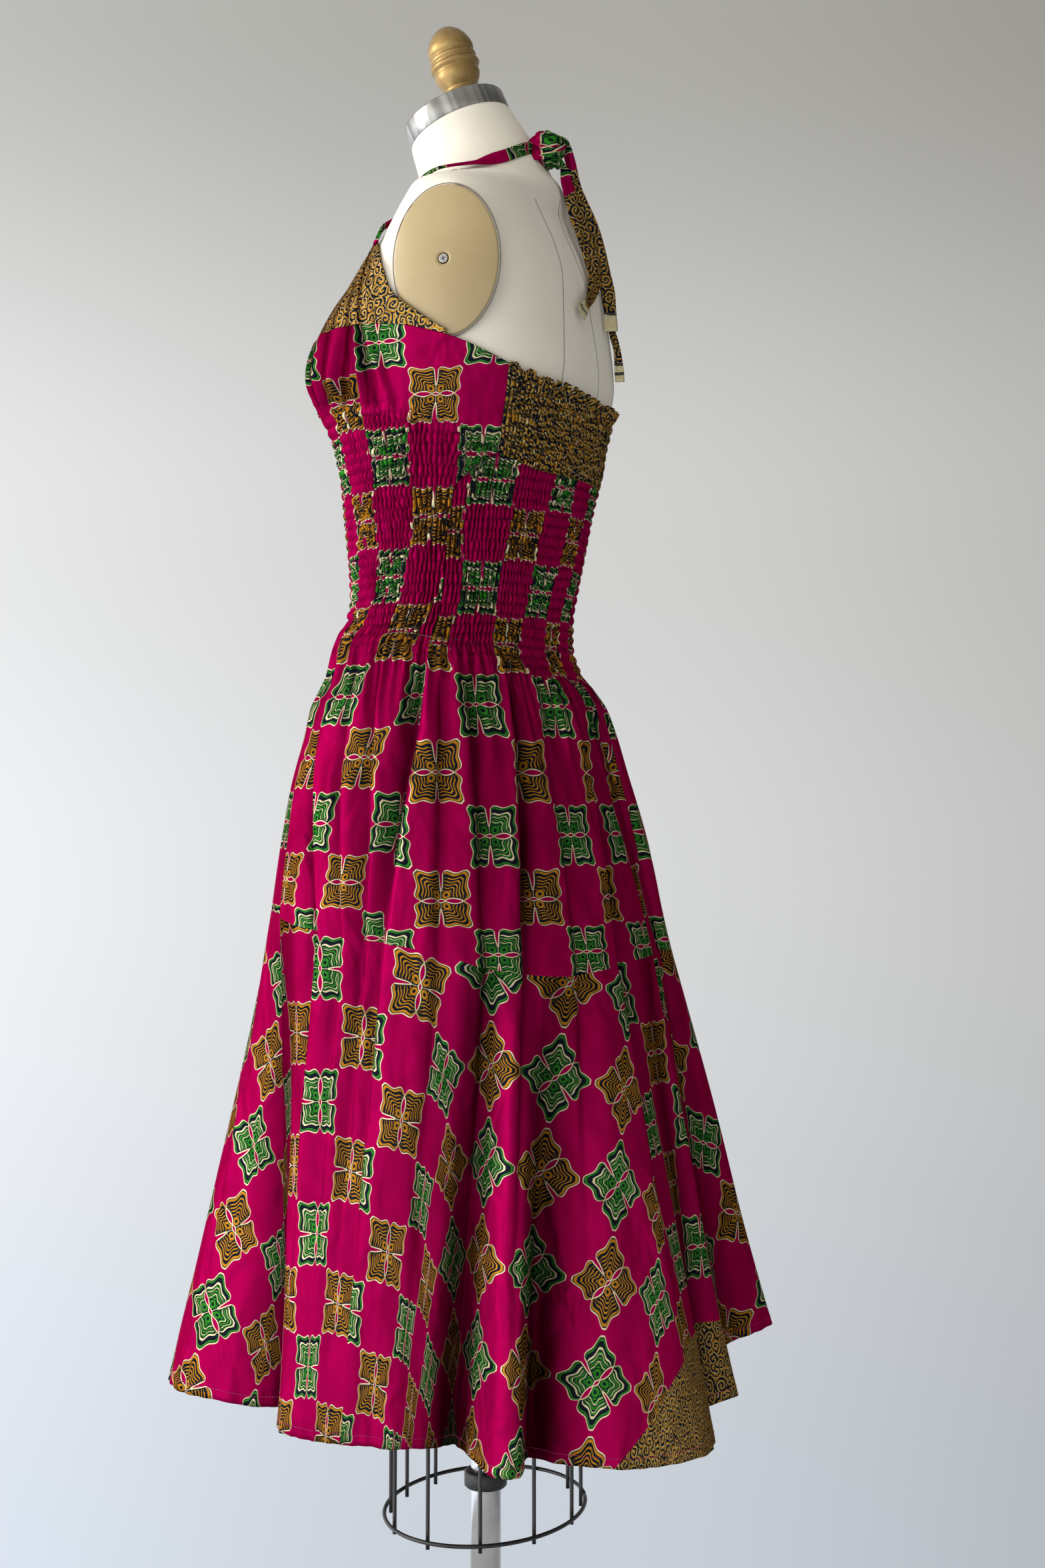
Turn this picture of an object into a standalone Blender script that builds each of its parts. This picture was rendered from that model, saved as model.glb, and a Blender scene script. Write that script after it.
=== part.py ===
"""Halter dress on a limbless dress form, in metres, Z up, the front facing -Y."""
import math

import bpy
import numpy as np
from mathutils import Vector

for old in list(bpy.data.objects):
    bpy.data.objects.remove(old, do_unlink=True)

# Sizes of the form
NECK_TOP = (-0.0217, 1.5300, 23.2)  # centre y, centre z and forward lean in degrees
NECK_TOP_RADIUS = 0.0448
CAP_HEIGHT = 0.0180
FINIAL_FOOT = (-0.0183, 1.5520, 15.5)  # y, z and forward lean in degrees
ARM_PLATE_X = 0.1464
ARM_PLATE_Y = 0.0180
ARM_PLATE_Z = 1.3855
ARM_PLATE_HALF_DEPTH = 0.0430
ARM_PLATE_HALF_HEIGHT = 0.0585
ARM_PLATE_EDGE = 0.0010
ARM_PLATE_DOME = 0.0060
TORSO_SIDE_X = 0.1460
TORSO_BOTTOM = 0.8700
POLE_RADIUS = 0.0127
COLLAR_RADIUS = 0.0180
COLLAR_TOP = 0.4050
COLLAR_HEIGHT = 0.0150
BASE_RADIUS = 0.2000
BASE_EDGE = 0.0120
HUB_RADIUS = 0.0300
HUB_TOP = 0.0600
WIRE_RADIUS = 0.0017
HOOP_Z = 0.3750
HOOP_HALF_WIDTH = 0.1050
HOOP_HALF_DEPTH = 0.0815
HOOP_OPENING = 208.0  # degrees from the front, where the hoop's ends don't meet
WIRES = (15, 47, 79, 111, 143, 176, 203, 232, 262, 294, 327, 351)  # degrees from the front
TORSO_COLUMNS = 36

# Colours of the canvas and of the cloth's two prints
CANVAS = (0.72, 0.66, 0.57)
MAGENTA = (0.55, 0.0, 0.16)
OCHRE = (0.55, 0.27, 0.04)

# Sizes of the cloth
GAP = 0.0007
WALL = 0.0016
SMOCK_WALL = 0.0026
CLOTH_OFF_FORM = 0.0012
RIB_HEIGHT = 0.0010
RIBS_FRONT = 42
RIBS_BACK = 30
RIBS_PANEL = 26
GATHERS_FRONT = 16
GATHERS_BACK = 12
RUFFLE_OUT = 0.0070
STRAP_WIDTH = 0.0100
KNOT = (0.0000, 0.0630, 1.4990)
KNOT_RADII = (0.0120, 0.0106, 0.0138)

# Torso sections: height, half width, half depth, centre y, roundness exponent
TORSO = (
    (0.870, 0.1560, 0.1094, -0.0078, 2.00),
    (0.935, 0.1630, 0.1136, -0.0062, 2.00),
    (0.980, 0.1580, 0.1080, -0.0089, 2.00),
    (1.020, 0.1480, 0.0996, -0.0127, 2.00),
    (1.045, 0.1410, 0.0942, -0.0164, 2.00),
    (1.067, 0.1340, 0.0906, -0.0186, 2.00),
    (1.090, 0.1240, 0.0851, -0.0218, 2.00),
    (1.112, 0.1150, 0.0844, -0.0216, 2.00),
    (1.135, 0.1090, 0.0876, -0.0189, 2.00),
    (1.160, 0.1100, 0.0912, -0.0170, 2.00),
    (1.184, 0.1135, 0.0939, -0.0157, 2.05),
    (1.210, 0.1195, 0.0965, -0.0141, 2.10),
    (1.237, 0.1260, 0.0984, -0.0114, 2.20),
    (1.262, 0.1320, 0.1004, -0.0098, 2.30),
    (1.290, 0.1390, 0.1032, -0.0073, 2.40),
    (1.315, 0.1450, 0.1044, -0.0055, 2.50),
    (1.340, 0.1495, 0.1009, -0.0047, 2.60),
    (1.366, 0.1515, 0.0926, -0.0010, 2.70),
    (1.394, 0.1525, 0.0812, 0.0056, 2.70),
    (1.420, 0.1515, 0.0679, 0.0089, 2.60),
    (1.440, 0.1495, 0.0572, 0.0110, 2.50),
    (1.447, 0.1470, 0.0544, 0.0115, 2.40),
    (1.455, 0.1400, 0.0523, 0.0114, 2.30),
    (1.461, 0.1250, 0.0527, 0.0119, 2.20),
    (1.4685, 0.1000, 0.0548, 0.0110, 2.10),
    (1.474, 0.0800, 0.0588, 0.0063, 2.00),
    (1.480, 0.0630, 0.0590, 0.0036, 2.00),
    (1.487, 0.0580, 0.0557, 0.0008, 2.00),
)

# Heights at which the torso is lofted
TORSO_ROWS = (
    0.870, 0.935, 0.985, 1.030, 1.067, 1.090, 1.112, 1.135, 1.160, 1.184, 1.210, 1.237,
    1.262, 1.287, 1.312, 1.340, 1.366, 1.394, 1.420, 1.440, 1.4535, 1.461, 1.4685, 1.474,
    1.480, 1.487,
)

# Leaning neck rings: centre y, centre z, half width, half depth, lean in degrees
NECK = (
    (-0.0075, 1.5025, 0.0535, 0.0503, 14.0),
    (-0.0217, 1.5300, 0.0448, 0.0448, 23.2),
)

# Skirt sections inside the cloth: height, half width, half depth, centre y, exponent
SKIRT = (
    (0.470, 0.2600, 0.2530, -0.0079, 2.00),
    (0.850, 0.1842, 0.1609, -0.0139, 2.00),
    (0.880, 0.1812, 0.1550, -0.0156, 2.00),
    (0.927, 0.1762, 0.1461, -0.0173, 2.00),
    (0.980, 0.1682, 0.1330, -0.0201, 2.00),
    (1.020, 0.1582, 0.1218, -0.0213, 2.00),
    (1.045, 0.1490, 0.1144, -0.0240, 2.00),
    (1.067, 0.1378, 0.1007, -0.0252, 2.00),
    (1.090, 0.1260, 0.0929, -0.0267, 2.00),
    (1.112, 0.1165, 0.0886, -0.0224, 2.00),
    (1.137, 0.1100, 0.0887, -0.0188, 2.00),
)

# Edges of the pieces on the wearer's left: degrees from the front, height
YOKE_TOP = (
    (0, 1.3400), (12, 1.3620), (24, 1.3880), (33, 1.4100), (36, 1.4145), (41, 1.4145),
    (48, 1.4070), (58, 1.3980), (68, 1.3890), (74, 1.3820), (77.7, 1.3766),
    (79.4, 1.3693), (82.8, 1.3597), (89.4, 1.3474), (95.7, 1.3363), (99.3, 1.3310),
)
YOKE_SEAM = (
    (0, 1.3320), (30, 1.3390), (55, 1.3420), (70.4, 1.3412), (79, 1.3394),
    (85.2, 1.3375), (89.4, 1.3350), (94.8, 1.3312), (99.3, 1.3275),
)
BODICE_TOP = YOKE_SEAM + ((105, 1.3222), (111, 1.3155), (118.5, 1.3075))
SMOCK_TOP = (
    (0, 1.2790), (45, 1.2770), (66, 1.2742), (79, 1.2700), (88, 1.2640),
    (96, 1.2590), (104.4, 1.2535), (113.3, 1.2457), (119, 1.2420),
)
SMOCK_BOTTOM = (
    (0, 1.1180), (46, 1.1147), (82, 1.1044), (99, 1.0960), (113, 1.0930),
    (130, 1.0864), (154, 1.0726), (180, 1.0660),
)
PANEL_TOP = (
    (116, 1.3084), (123.4, 1.3049), (132, 1.2995), (141.6, 1.2970), (160.5, 1.2942),
    (180, 1.2912),
)
PANEL_BOTTOM = (
    (118, 1.2402), (124.3, 1.2355), (134.9, 1.2300), (149.5, 1.2284), (180, 1.2277),
)
BACK_SHOULDER = ((105.5, 1.2198), (112, 1.2295), (118, 1.2402))
SKIRT_SEAM = (
    (0, 0.8780), (45, 0.8746), (70, 0.8630), (91, 0.8578), (102, 0.8515),
    (112, 0.8405), (122, 0.8345), (135, 0.8318), (155, 0.8385), (180, 0.8444),
)

# Side seam of the midriff: height, degrees from the front; then the other pieces' side edges
SIDE_SEAM = (
    (1.0900, 100.0), (1.1300, 100.6), (1.1600, 100.6), (1.1870, 102.1),
    (1.2198, 105.5), (1.2310, 112.2), (1.2420, 119.0),
)
SEAM_ROWS = 8
SKIRT_SIDE = 100.0
SIDE_GAP = 0.10
YOKE_END = 99.0
BODICE_END = 118.6
PANEL_START = 119.0

# Hem folds all round: degrees from the front towards the wearer's left, radius
HEM = (
    (0, 0.246), (8, 0.255), (15, 0.257), (24, 0.244), (33, 0.205), (42, 0.163),
    (50, 0.168), (56, 0.182), (62, 0.194), (72, 0.182), (84, 0.177), (94, 0.178),
    (100, 0.167), (106, 0.154), (110, 0.192), (115, 0.240), (120, 0.216),
    (127, 0.234), (136, 0.252), (144, 0.264), (151, 0.270), (160, 0.246),
    (168, 0.218), (175, 0.230), (184, 0.222), (195, 0.216), (205, 0.258),
    (213, 0.250), (223, 0.208), (232, 0.196), (241, 0.236), (250, 0.250),
    (259, 0.220), (268, 0.190), (277, 0.226), (287, 0.252), (297, 0.242),
    (306, 0.190), (314, 0.178), (323, 0.226), (332, 0.252), (341, 0.244),
    (350, 0.232),
)
HEM_CENTRE = (0.0040, -0.0110)
HEM_HEIGHT = (
    (0, 0.478), (60, 0.474), (110, 0.471), (150, 0.477), (175, 0.496), (205, 0.520),
    (232, 0.502), (265, 0.480), (310, 0.475), (360, 0.478),
)

# Hanging tie ends: centre point, width direction, width
NEAR_TAIL = (
    ((0.0020, 0.0704, 1.4883), (-0.85, 0.52), 0.0110),
    ((0.0000, 0.0712, 1.4790), (-0.85, 0.52), 0.0125),
    ((-0.0100, 0.0752, 1.4627), (-0.80, 0.60), 0.0160),
    ((-0.0220, 0.0795, 1.4406), (-0.80, 0.60), 0.0165),
    ((-0.0220, 0.0865, 1.4186), (-0.80, 0.60), 0.0165),
    ((-0.0120, 0.0920, 1.3990), (-0.90, 0.43), 0.0140),
    ((0.0080, 0.0950, 1.3820), (-0.97, 0.25), 0.0095),
    ((0.0280, 0.0965, 1.3710), (-1.00, 0.06), 0.0090),
    ((0.0430, 0.0968, 1.3600), (-0.99, 0.12), 0.0120),
)
OUTER_TAIL = (
    ((-0.0010, 0.0670, 1.5144), (-0.10, 1.00), 0.0090),
    ((-0.0125, 0.0700, 1.5118), (-0.10, 1.00), 0.0090),
    ((-0.0205, 0.0745, 1.4990), (-0.10, 1.00), 0.0090),
    ((-0.0290, 0.0790, 1.4800), (-0.30, 0.95), 0.0105),
    ((-0.0400, 0.0805, 1.4520), (-0.50, 0.85), 0.0120),
    ((-0.0460, 0.0880, 1.4230), (-0.60, 0.80), 0.0125),
    ((-0.0460, 0.0945, 1.3966), (-0.60, 0.80), 0.0110),
    ((-0.0430, 0.0965, 1.3773), (-0.50, 0.85), 0.0110),
    ((-0.0380, 0.0985, 1.3618), (-0.40, 0.90), 0.0120),
)
THIN_TAIL = (
    ((-0.0140, 0.0655, 1.4850), (-0.95, 0.20), 0.0060),
    ((-0.0360, 0.0670, 1.4680), (-0.90, 0.30), 0.0065),
    ((-0.0500, 0.0720, 1.4440), (-0.90, 0.43), 0.0065),
    ((-0.0580, 0.0790, 1.4200), (-0.90, 0.43), 0.0065),
    ((-0.0600, 0.0870, 1.3950), (-0.80, 0.60), 0.0065),
    ((-0.0600, 0.0930, 1.3690), (-0.70, 0.70), 0.0065),
    ((-0.0560, 0.0990, 1.3480), (-0.60, 0.80), 0.0070),
    ((-0.0540, 0.1020, 1.3216), (-0.60, 0.80), 0.0085),
)

# Path of the left strap on the form: degrees, height, distance off the form
STRAP = (
    (38.5, 1.4160, 0.0032), (37, 1.4300, 0.0028), (36, 1.4440, 0.0027),
    (38, 1.4560, 0.0032), (44, 1.4660, 0.0040), (56, 1.4735, 0.0050),
    (74, 1.4785, 0.0052), (98, 1.4820, 0.0050), (122, 1.4850, 0.0044),
    (144, 1.4868, 0.0042), (159, 1.4870, 0.0044),
)

scene = bpy.context.scene
home = bpy.data.collections.new("halter_dress_on_form")
scene.collection.children.link(home)


def table(rows, x):
    """Smooth curve through a table's (x, y) rows, flat past its ends."""
    xs = np.array([r[0] for r in rows], float)
    ys = np.array([r[1] for r in rows], float)
    slopes = np.gradient(ys, xs)
    x = float(min(max(x, xs[0]), xs[-1]))
    i = int(min(max(np.searchsorted(xs, x) - 1, 0), len(xs) - 2))
    h = xs[i + 1] - xs[i]
    t = (x - xs[i]) / h
    line = ys[i] + (ys[i + 1] - ys[i]) * t
    a = slopes[i] * h - (ys[i + 1] - ys[i])
    b = (ys[i + 1] - ys[i]) - slopes[i + 1] * h
    return float(line + 0.6 * t * (1 - t) * (a * (1 - t) + b * t))


def section(rows, z):
    """Half width, half depth, centre y and exponent at a height."""
    return tuple(table([(r[0], r[k]) for r in rows], z) for k in (1, 2, 3, 4))


def on_section(sec, theta, out=0.0):
    """Point x, y of a rounded section at an angle, moved out along its normal."""
    a, b, yc, n = sec
    s = math.sin(theta)
    c = -math.cos(theta)
    r = (abs(s / a) ** n + abs(c / b) ** n) ** (-1.0 / n)
    x = r * s
    y = r * c
    gx = math.copysign(abs(x / a) ** (n - 1) / a, x)
    gy = math.copysign(abs(y / b) ** (n - 1) / b, y)
    g = math.hypot(gx, gy)
    return x + out * gx / g, yc + y + out * gy / g


def turned(degrees):
    """Angle brought into the range from -180 to 180 degrees."""
    return (degrees + 180.0) % 360.0 - 180.0


def bust(degrees, z, low, between):
    """Height of the bust over the plain section, from 0 to 1."""
    side = abs(turned(degrees)) - 41.0
    spread = between if side < 0 else 20.0
    up = 0.070 if z > 1.312 else low
    return math.exp(-((side / spread) ** 2) - ((z - 1.312) / up) ** 2)


def form_point(degrees, z, out=0.0):
    """Point on the torso below its neck."""
    sec = section(TORSO, z)
    lift = 0.021 * bust(degrees, z, 0.036, 20.0)
    x, y = on_section(sec, math.radians(degrees), lift + out)
    limit = TORSO_SIDE_X + out
    return Vector((min(max(x, -limit), limit), y, z))


def cloth_point(degrees, z, out=0.0):
    """Point on the inner face of the dress, moved out by a distance."""
    if z < 1.112:
        sec = section(SKIRT, z)
        x, y = on_section(sec, math.radians(degrees), out)
        return Vector((x, y, z))
    sec = section(TORSO, z)
    low = section(SKIRT, min(z, 1.137))
    mix = min(max((1.137 - z) / 0.025, 0.0), 1.0)
    mix = mix * mix * (3 - 2 * mix)
    grown = (sec[0] + CLOTH_OFF_FORM, sec[1] + CLOTH_OFF_FORM, sec[2], sec[3])
    sec = tuple(p + (q - p) * mix for p, q in zip(grown, low))
    lift = 0.022 * bust(degrees, z, 0.042, 48.0)
    lift += 0.0012 * math.exp(-(((z - 1.243) / 0.016) ** 2))
    x, y = on_section(sec, math.radians(degrees), 0.0)
    over = 0.0044 * math.exp(-(((y - 0.016) / 0.046) ** 2) - ((z - 1.346) / 0.022) ** 2)
    over = over if abs(x) > 0.1 else 0.0
    x, y = on_section(sec, math.radians(degrees), lift + over + out)
    limit = TORSO_SIDE_X + CLOTH_OFF_FORM + over + out
    return Vector((min(max(x, -limit), limit), y, z))


def paint(ob, name, colour, metallic=0.0, rough=0.6):
    """Gives an object its own plain material."""
    mat = bpy.data.materials.new(name)
    mat.use_nodes = True
    node = mat.node_tree.nodes["Principled BSDF"]
    node.inputs["Base Color"].default_value = (*colour, 1.0)
    node.inputs["Metallic"].default_value = metallic
    node.inputs["Roughness"].default_value = rough
    ob.data.materials.clear()
    ob.data.materials.append(mat)


def keep(ob, name, colour, metallic=0.0, rough=0.6, smooth=True):
    """Names, colours, shades and files an object in the part's collection."""
    ob.name = name
    ob.data.name = name
    for group in list(ob.users_collection):
        group.objects.unlink(ob)
    home.objects.link(ob)
    paint(ob, name, colour, metallic, rough)
    if ob.type == "MESH":
        for face in ob.data.polygons:
            face.use_smooth = smooth
    return ob


def mesh_from(name, points, faces):
    """Object of a closed mesh with its faces turned outward."""
    me = bpy.data.meshes.new(name)
    me.from_pydata([tuple(p) for p in points], [], faces)
    me.validate()
    volume = 0.0
    for f in me.polygons:
        v = [me.vertices[i].co for i in f.vertices]
        for k in range(1, len(v) - 1):
            volume += v[0].dot(v[k].cross(v[k + 1]))
    if volume < 0:
        me.flip_normals()
    ob = bpy.data.objects.new(name, me)
    home.objects.link(ob)
    return ob


def tube_loft(name, rings):
    """Closed body through rings of equal size, with flat fans at both ends."""
    n = len(rings[0])
    points = [p for ring in rings for p in ring]
    faces = []
    for i in range(len(rings) - 1):
        for j in range(n):
            k = (j + 1) % n
            faces.append((i * n + j, i * n + k, (i + 1) * n + k, (i + 1) * n + j))
    last = (len(rings) - 1) * n
    faces.append(tuple(range(n - 1, -1, -1)))
    faces.append(tuple(range(last, last + n)))
    return mesh_from(name, points, faces)


def strip(faces, one, two):
    """Triangles between two rows of points that run the same way."""
    i = j = 0
    while i < len(one) - 1 or j < len(two) - 1:
        along = (i + 0.5) / max(len(one) - 1, 1)
        other = (j + 0.5) / max(len(two) - 1, 1)
        if j == len(two) - 1 or (i < len(one) - 1 and along <= other):
            faces.append((one[i], one[i + 1], two[j]))
            i += 1
        else:
            faces.append((one[i], two[j + 1], two[j]))
            j += 1


def wall_loft(name, outer, inner):
    """Closed cloth wall between an outer and an inner grid of points."""
    points = [p for row in outer for p in row]
    start = len(points)
    points += [p for row in inner for p in row]
    rows, cols = len(outer), len(outer[0])
    rows2, cols2 = len(inner), len(inner[0])
    faces = []
    for i in range(rows - 1):
        for j in range(cols - 1):
            a = i * cols + j
            faces.append((a, a + 1, a + cols + 1, a + cols))
    for i in range(rows2 - 1):
        for j in range(cols2 - 1):
            a = start + i * cols2 + j
            faces.append((a, a + cols2, a + cols2 + 1, a + 1))
    low = list(range(cols))
    low2 = [start + j for j in range(cols2)]
    top = [(rows - 1) * cols + j for j in range(cols)]
    top2 = [start + (rows2 - 1) * cols2 + j for j in range(cols2)]
    left = [i * cols for i in range(rows)]
    left2 = [start + i * cols2 for i in range(rows2)]
    right = [i * cols + cols - 1 for i in range(rows)]
    right2 = [start + i * cols2 + cols2 - 1 for i in range(rows2)]
    strip(faces, low2, low)
    strip(faces, top, top2)
    strip(faces, left, left2)
    strip(faces, right2, right)
    return mesh_from(name, points, faces)


def grid(rows, cols, place):
    """Grid of points from place(column share, row share)."""
    return [[place(j / cols, i / rows, j, i) for j in range(cols + 1)]
            for i in range(rows + 1)]


def mirrored(points):
    """The same grid on the wearer's other side."""
    return [[Vector((-p.x, p.y, p.z)) for p in row] for row in points]


def lathe(name, profile, segments, place, lean):
    """Turned body from a profile of radius and height, top to bottom."""
    me = bpy.data.meshes.new(name)
    pts = [(r, 0.0, h) for r, h in profile]
    edges = [(i, i + 1) for i in range(len(pts) - 1)]
    if profile[0][0] > 0:
        edges.append((len(pts) - 1, 0))
    me.from_pydata(pts, edges, [])
    ob = bpy.data.objects.new(name, me)
    home.objects.link(ob)
    mod = ob.modifiers.new("turn", "SCREW")
    mod.steps = segments
    mod.render_steps = segments
    mod.angle = math.tau
    mod.use_merge_vertices = True
    mod.merge_threshold = 0.00005
    ob.location = place
    ob.rotation_euler = (math.radians(lean), 0.0, 0.0)
    return ob


def wire(name, points, radius, closed=False):
    """Round wire along a path of straight pieces."""
    cu = bpy.data.curves.new(name, "CURVE")
    cu.dimensions = "3D"
    cu.bevel_depth = radius
    cu.bevel_resolution = 1
    cu.use_fill_caps = not closed
    sp = cu.splines.new("POLY")
    sp.points.add(len(points) - 1)
    for p, q in zip(sp.points, points):
        p.co = (*q, 1.0)
    sp.use_cyclic_u = closed
    ob = bpy.data.objects.new(name, cu)
    home.objects.link(ob)
    return ob


# Torso with its leaning neck
rings = []
for z in TORSO_ROWS:
    rings.append([form_point(360.0 * j / TORSO_COLUMNS, z) for j in range(TORSO_COLUMNS)])
for yc, zc, a, b, lean in NECK:
    ring = []
    for j in range(TORSO_COLUMNS):
        t = math.tau * j / TORSO_COLUMNS
        along = -b * math.cos(t)
        y = yc + along * math.cos(math.radians(lean))
        z = zc + along * math.sin(math.radians(lean))
        ring.append(Vector((a * math.sin(t), y, z)))
    rings.append(ring)
torso = keep(tube_loft("torso", rings), "torso", CANVAS)

# Neck cap, finial and arm plates
lean = math.radians(NECK_TOP[2])
lift = 0.0003
cap_at = (0.0, NECK_TOP[0] - lift * math.sin(lean), NECK_TOP[1] + lift * math.cos(lean))
cap_profile = (
    (0.0, CAP_HEIGHT),
    (NECK_TOP_RADIUS - 0.0015, CAP_HEIGHT),
    (NECK_TOP_RADIUS, CAP_HEIGHT - 0.0012),
    (NECK_TOP_RADIUS, 0.0),
    (0.0, 0.0),
)
cap = lathe("neck_cap", cap_profile, 36, cap_at, NECK_TOP[2])
keep(cap, "neck_cap", (0.55, 0.55, 0.54), 1.0, 0.3)

finial_profile = (
    (0.0, 0.0690), (0.0062, 0.0676), (0.0120, 0.0640), (0.0168, 0.0580),
    (0.0193, 0.0510), (0.0188, 0.0460), (0.0176, 0.0438), (0.0200, 0.0412),
    (0.0182, 0.0375), (0.0210, 0.0330), (0.0184, 0.0288), (0.0192, 0.0262),
    (0.0170, 0.0200), (0.0132, 0.0130), (0.0146, 0.0105), (0.0146, 0.0065),
    (0.0090, 0.0048), (0.0080, 0.0004), (0.0, 0.0004),
)
finial_at = (0.0, FINIAL_FOOT[0], FINIAL_FOOT[1] + 0.0004)
finial = lathe("finial", finial_profile, 18, finial_at, FINIAL_FOOT[2])
keep(finial, "finial", (0.45, 0.30, 0.12), 0.8, 0.35)

for side, word in ((1, "left"), (-1, "right")):
    rings = []
    for share, depth in ((1.0, 0.0), (1.0, 0.55), (0.82, 0.62), (0.5, 0.88), (0.12, 1.0)):
        ring = []
        for j in range(24):
            t = math.tau * j / 24
            x = ARM_PLATE_X + ARM_PLATE_EDGE * min(depth / 0.55, 1.0)
            x += ARM_PLATE_DOME * (1.0 - share * share) * min(depth / 0.55, 1.0)
            y = ARM_PLATE_Y + ARM_PLATE_HALF_DEPTH * share * math.cos(t)
            z = ARM_PLATE_Z + ARM_PLATE_HALF_HEIGHT * share * math.sin(t)
            ring.append(Vector((side * x, y, z)))
        rings.append(ring)
    plate = tube_loft("arm_plate_" + word, rings)
    keep(plate, "arm_plate_" + word, (0.62, 0.48, 0.27), 0.0, 0.3)
    screw_at = ARM_PLATE_X + ARM_PLATE_EDGE + ARM_PLATE_DOME + 0.0003
    bpy.ops.mesh.primitive_cylinder_add(
        vertices=14, radius=0.0040, depth=0.0016,
        location=(side * (screw_at + 0.0008), ARM_PLATE_Y, ARM_PLATE_Z),
        rotation=(0.0, math.pi / 2, 0.0),
    )
    screw = keep(bpy.context.object, "arm_screw_" + word, (0.5, 0.5, 0.5), 1.0, 0.3, False)

# Base, pole and collar
base_profile = (
    (0.0, HUB_TOP), (HUB_RADIUS - 0.003, HUB_TOP), (HUB_RADIUS, HUB_TOP - 0.004),
    (HUB_RADIUS + 0.004, 0.026), (0.110, 0.018), (BASE_RADIUS - 0.004, BASE_EDGE),
    (BASE_RADIUS, BASE_EDGE - 0.005), (BASE_RADIUS, 0.0), (0.0, 0.0),
)
base = lathe("base_plate", base_profile, 32, (0.0, 0.0, 0.0), 0.0)
keep(base, "base_plate", (0.03, 0.03, 0.03), 0.0, 0.5)

pole_foot = HUB_TOP + 0.0003
pole_top = TORSO_BOTTOM - 0.0003
bpy.ops.mesh.primitive_cylinder_add(
    vertices=24, radius=POLE_RADIUS, depth=pole_top - pole_foot,
    location=(0.0, 0.0, (pole_top + pole_foot) / 2),
)
pole = keep(bpy.context.object, "pole", (0.6, 0.6, 0.6), 1.0, 0.12, True)

collar_low = COLLAR_TOP - COLLAR_HEIGHT
collar_in = POLE_RADIUS + 0.0003
collar_profile = (
    (collar_in, COLLAR_TOP), (COLLAR_RADIUS - 0.002, COLLAR_TOP),
    (COLLAR_RADIUS, COLLAR_TOP - 0.002), (COLLAR_RADIUS, collar_low + 0.002),
    (COLLAR_RADIUS - 0.002, collar_low), (collar_in, collar_low),
)
collar = lathe("pole_collar", collar_profile, 20, (0.0, 0.0, 0.0), 0.0)
keep(collar, "pole_collar", (0.02, 0.02, 0.02), 0.0, 0.5)

# Wire cage under the torso
hoop_points = []
for j in range(37):
    t = math.radians(HOOP_OPENING + 1.6 + (360.0 - 3.2) * j / 36)
    hoop_points.append((HOOP_HALF_WIDTH * math.sin(t), -HOOP_HALF_DEPTH * math.cos(t), HOOP_Z))
hoop = wire("cage_hoop", hoop_points, WIRE_RADIUS)
keep(hoop, "cage_hoop", (0.01, 0.01, 0.01), 0.0, 0.4)

for k, degrees in enumerate(WIRES):
    t = math.radians(degrees)
    inside = 2 * WIRE_RADIUS + 0.0003
    a_low = HOOP_HALF_WIDTH - inside
    b_low = HOOP_HALF_DEPTH - inside
    low = (a_low * math.sin(t), -b_low * math.cos(t))
    top = form_point(degrees, TORSO_BOTTOM, -0.008)
    path = []
    stops = ((1.0, TORSO_BOTTOM - 0.0005), (0.72, 0.80), (0.22, 0.66), (0.0, 0.52), (0.0, HOOP_Z - 0.006))
    for share, z in stops:
        x = low[0] + (top.x - low[0]) * share
        y = low[1] + (top.y - low[1]) * share
        path.append((x, y, z))
    name = "cage_wire_%02d" % (k + 1)
    keep(wire(name, path, WIRE_RADIUS), name, (0.01, 0.01, 0.01), 0.0, 0.4)

# Yokes


def yoke_place(out):
    def place(u, v, j, i):
        degrees = 0.12 + (YOKE_END - 0.12) * u
        low = table(BODICE_TOP, degrees) + GAP
        top = max(table(YOKE_TOP, degrees), low + 0.0025)
        z = low + (top - low) * v
        pull = 0.0
        if out > 0:
            near = math.exp(-(((degrees - 38.0) / 26.0) ** 2))
            pull = 0.0010 * near * math.cos(math.radians(degrees) * 22.0) * math.sin(math.pi * v)
            pull += 0.0016 * near * math.sin(math.pi * v)
        return cloth_point(degrees, z, out + pull)
    return place


yoke_outer = grid(4, 34, yoke_place(WALL))
yoke_inner = grid(4, 17, yoke_place(0.0))
keep(wall_loft("yoke_left", yoke_outer, yoke_inner), "yoke_left", OCHRE, 0.0, 0.8)
yoke_right = wall_loft("yoke_right", mirrored(yoke_outer), mirrored(yoke_inner))
keep(yoke_right, "yoke_right", OCHRE, 0.0, 0.8)

# Front bodice with gathered bust

def bodice_place(out):
    def place(u, v, j, i):
        degrees = BODICE_END * (2 * u - 1)
        side = abs(degrees)
        low = table(SMOCK_TOP, side) + GAP / 2
        top = table(BODICE_TOP, side) - GAP / 2
        z = low + (top - low) * v
        fold = 0.0
        if out > 0:
            swell = math.sin(math.pi * min(max(v, 0.0), 1.0))
            front = math.exp(-((max(side - 50.0, 0.0) / 26.0) ** 2))
            fold = (0.0010 if j % 2 else -0.0003) * (0.25 + front) * (1.0 - 0.45 * v)
            fold += 0.0022 * swell * front
        return cloth_point(degrees, z, out + fold)
    return place


bodice_outer = grid(5, 64, bodice_place(WALL))
bodice_inner = grid(4, 32, bodice_place(0.0))
keep(wall_loft("bodice_front", bodice_outer, bodice_inner), "bodice_front", MAGENTA, 0.0, 0.8)


def rib(j, i, out):
    """Height of the smocking's ribs at a point of its outer grid."""
    held = i % 2 == 0
    size = RIB_HEIGHT * (0.6 if held else 1.0)
    return out + (size if j % 2 else -size) - (0.0004 if held else 0.0)


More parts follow.
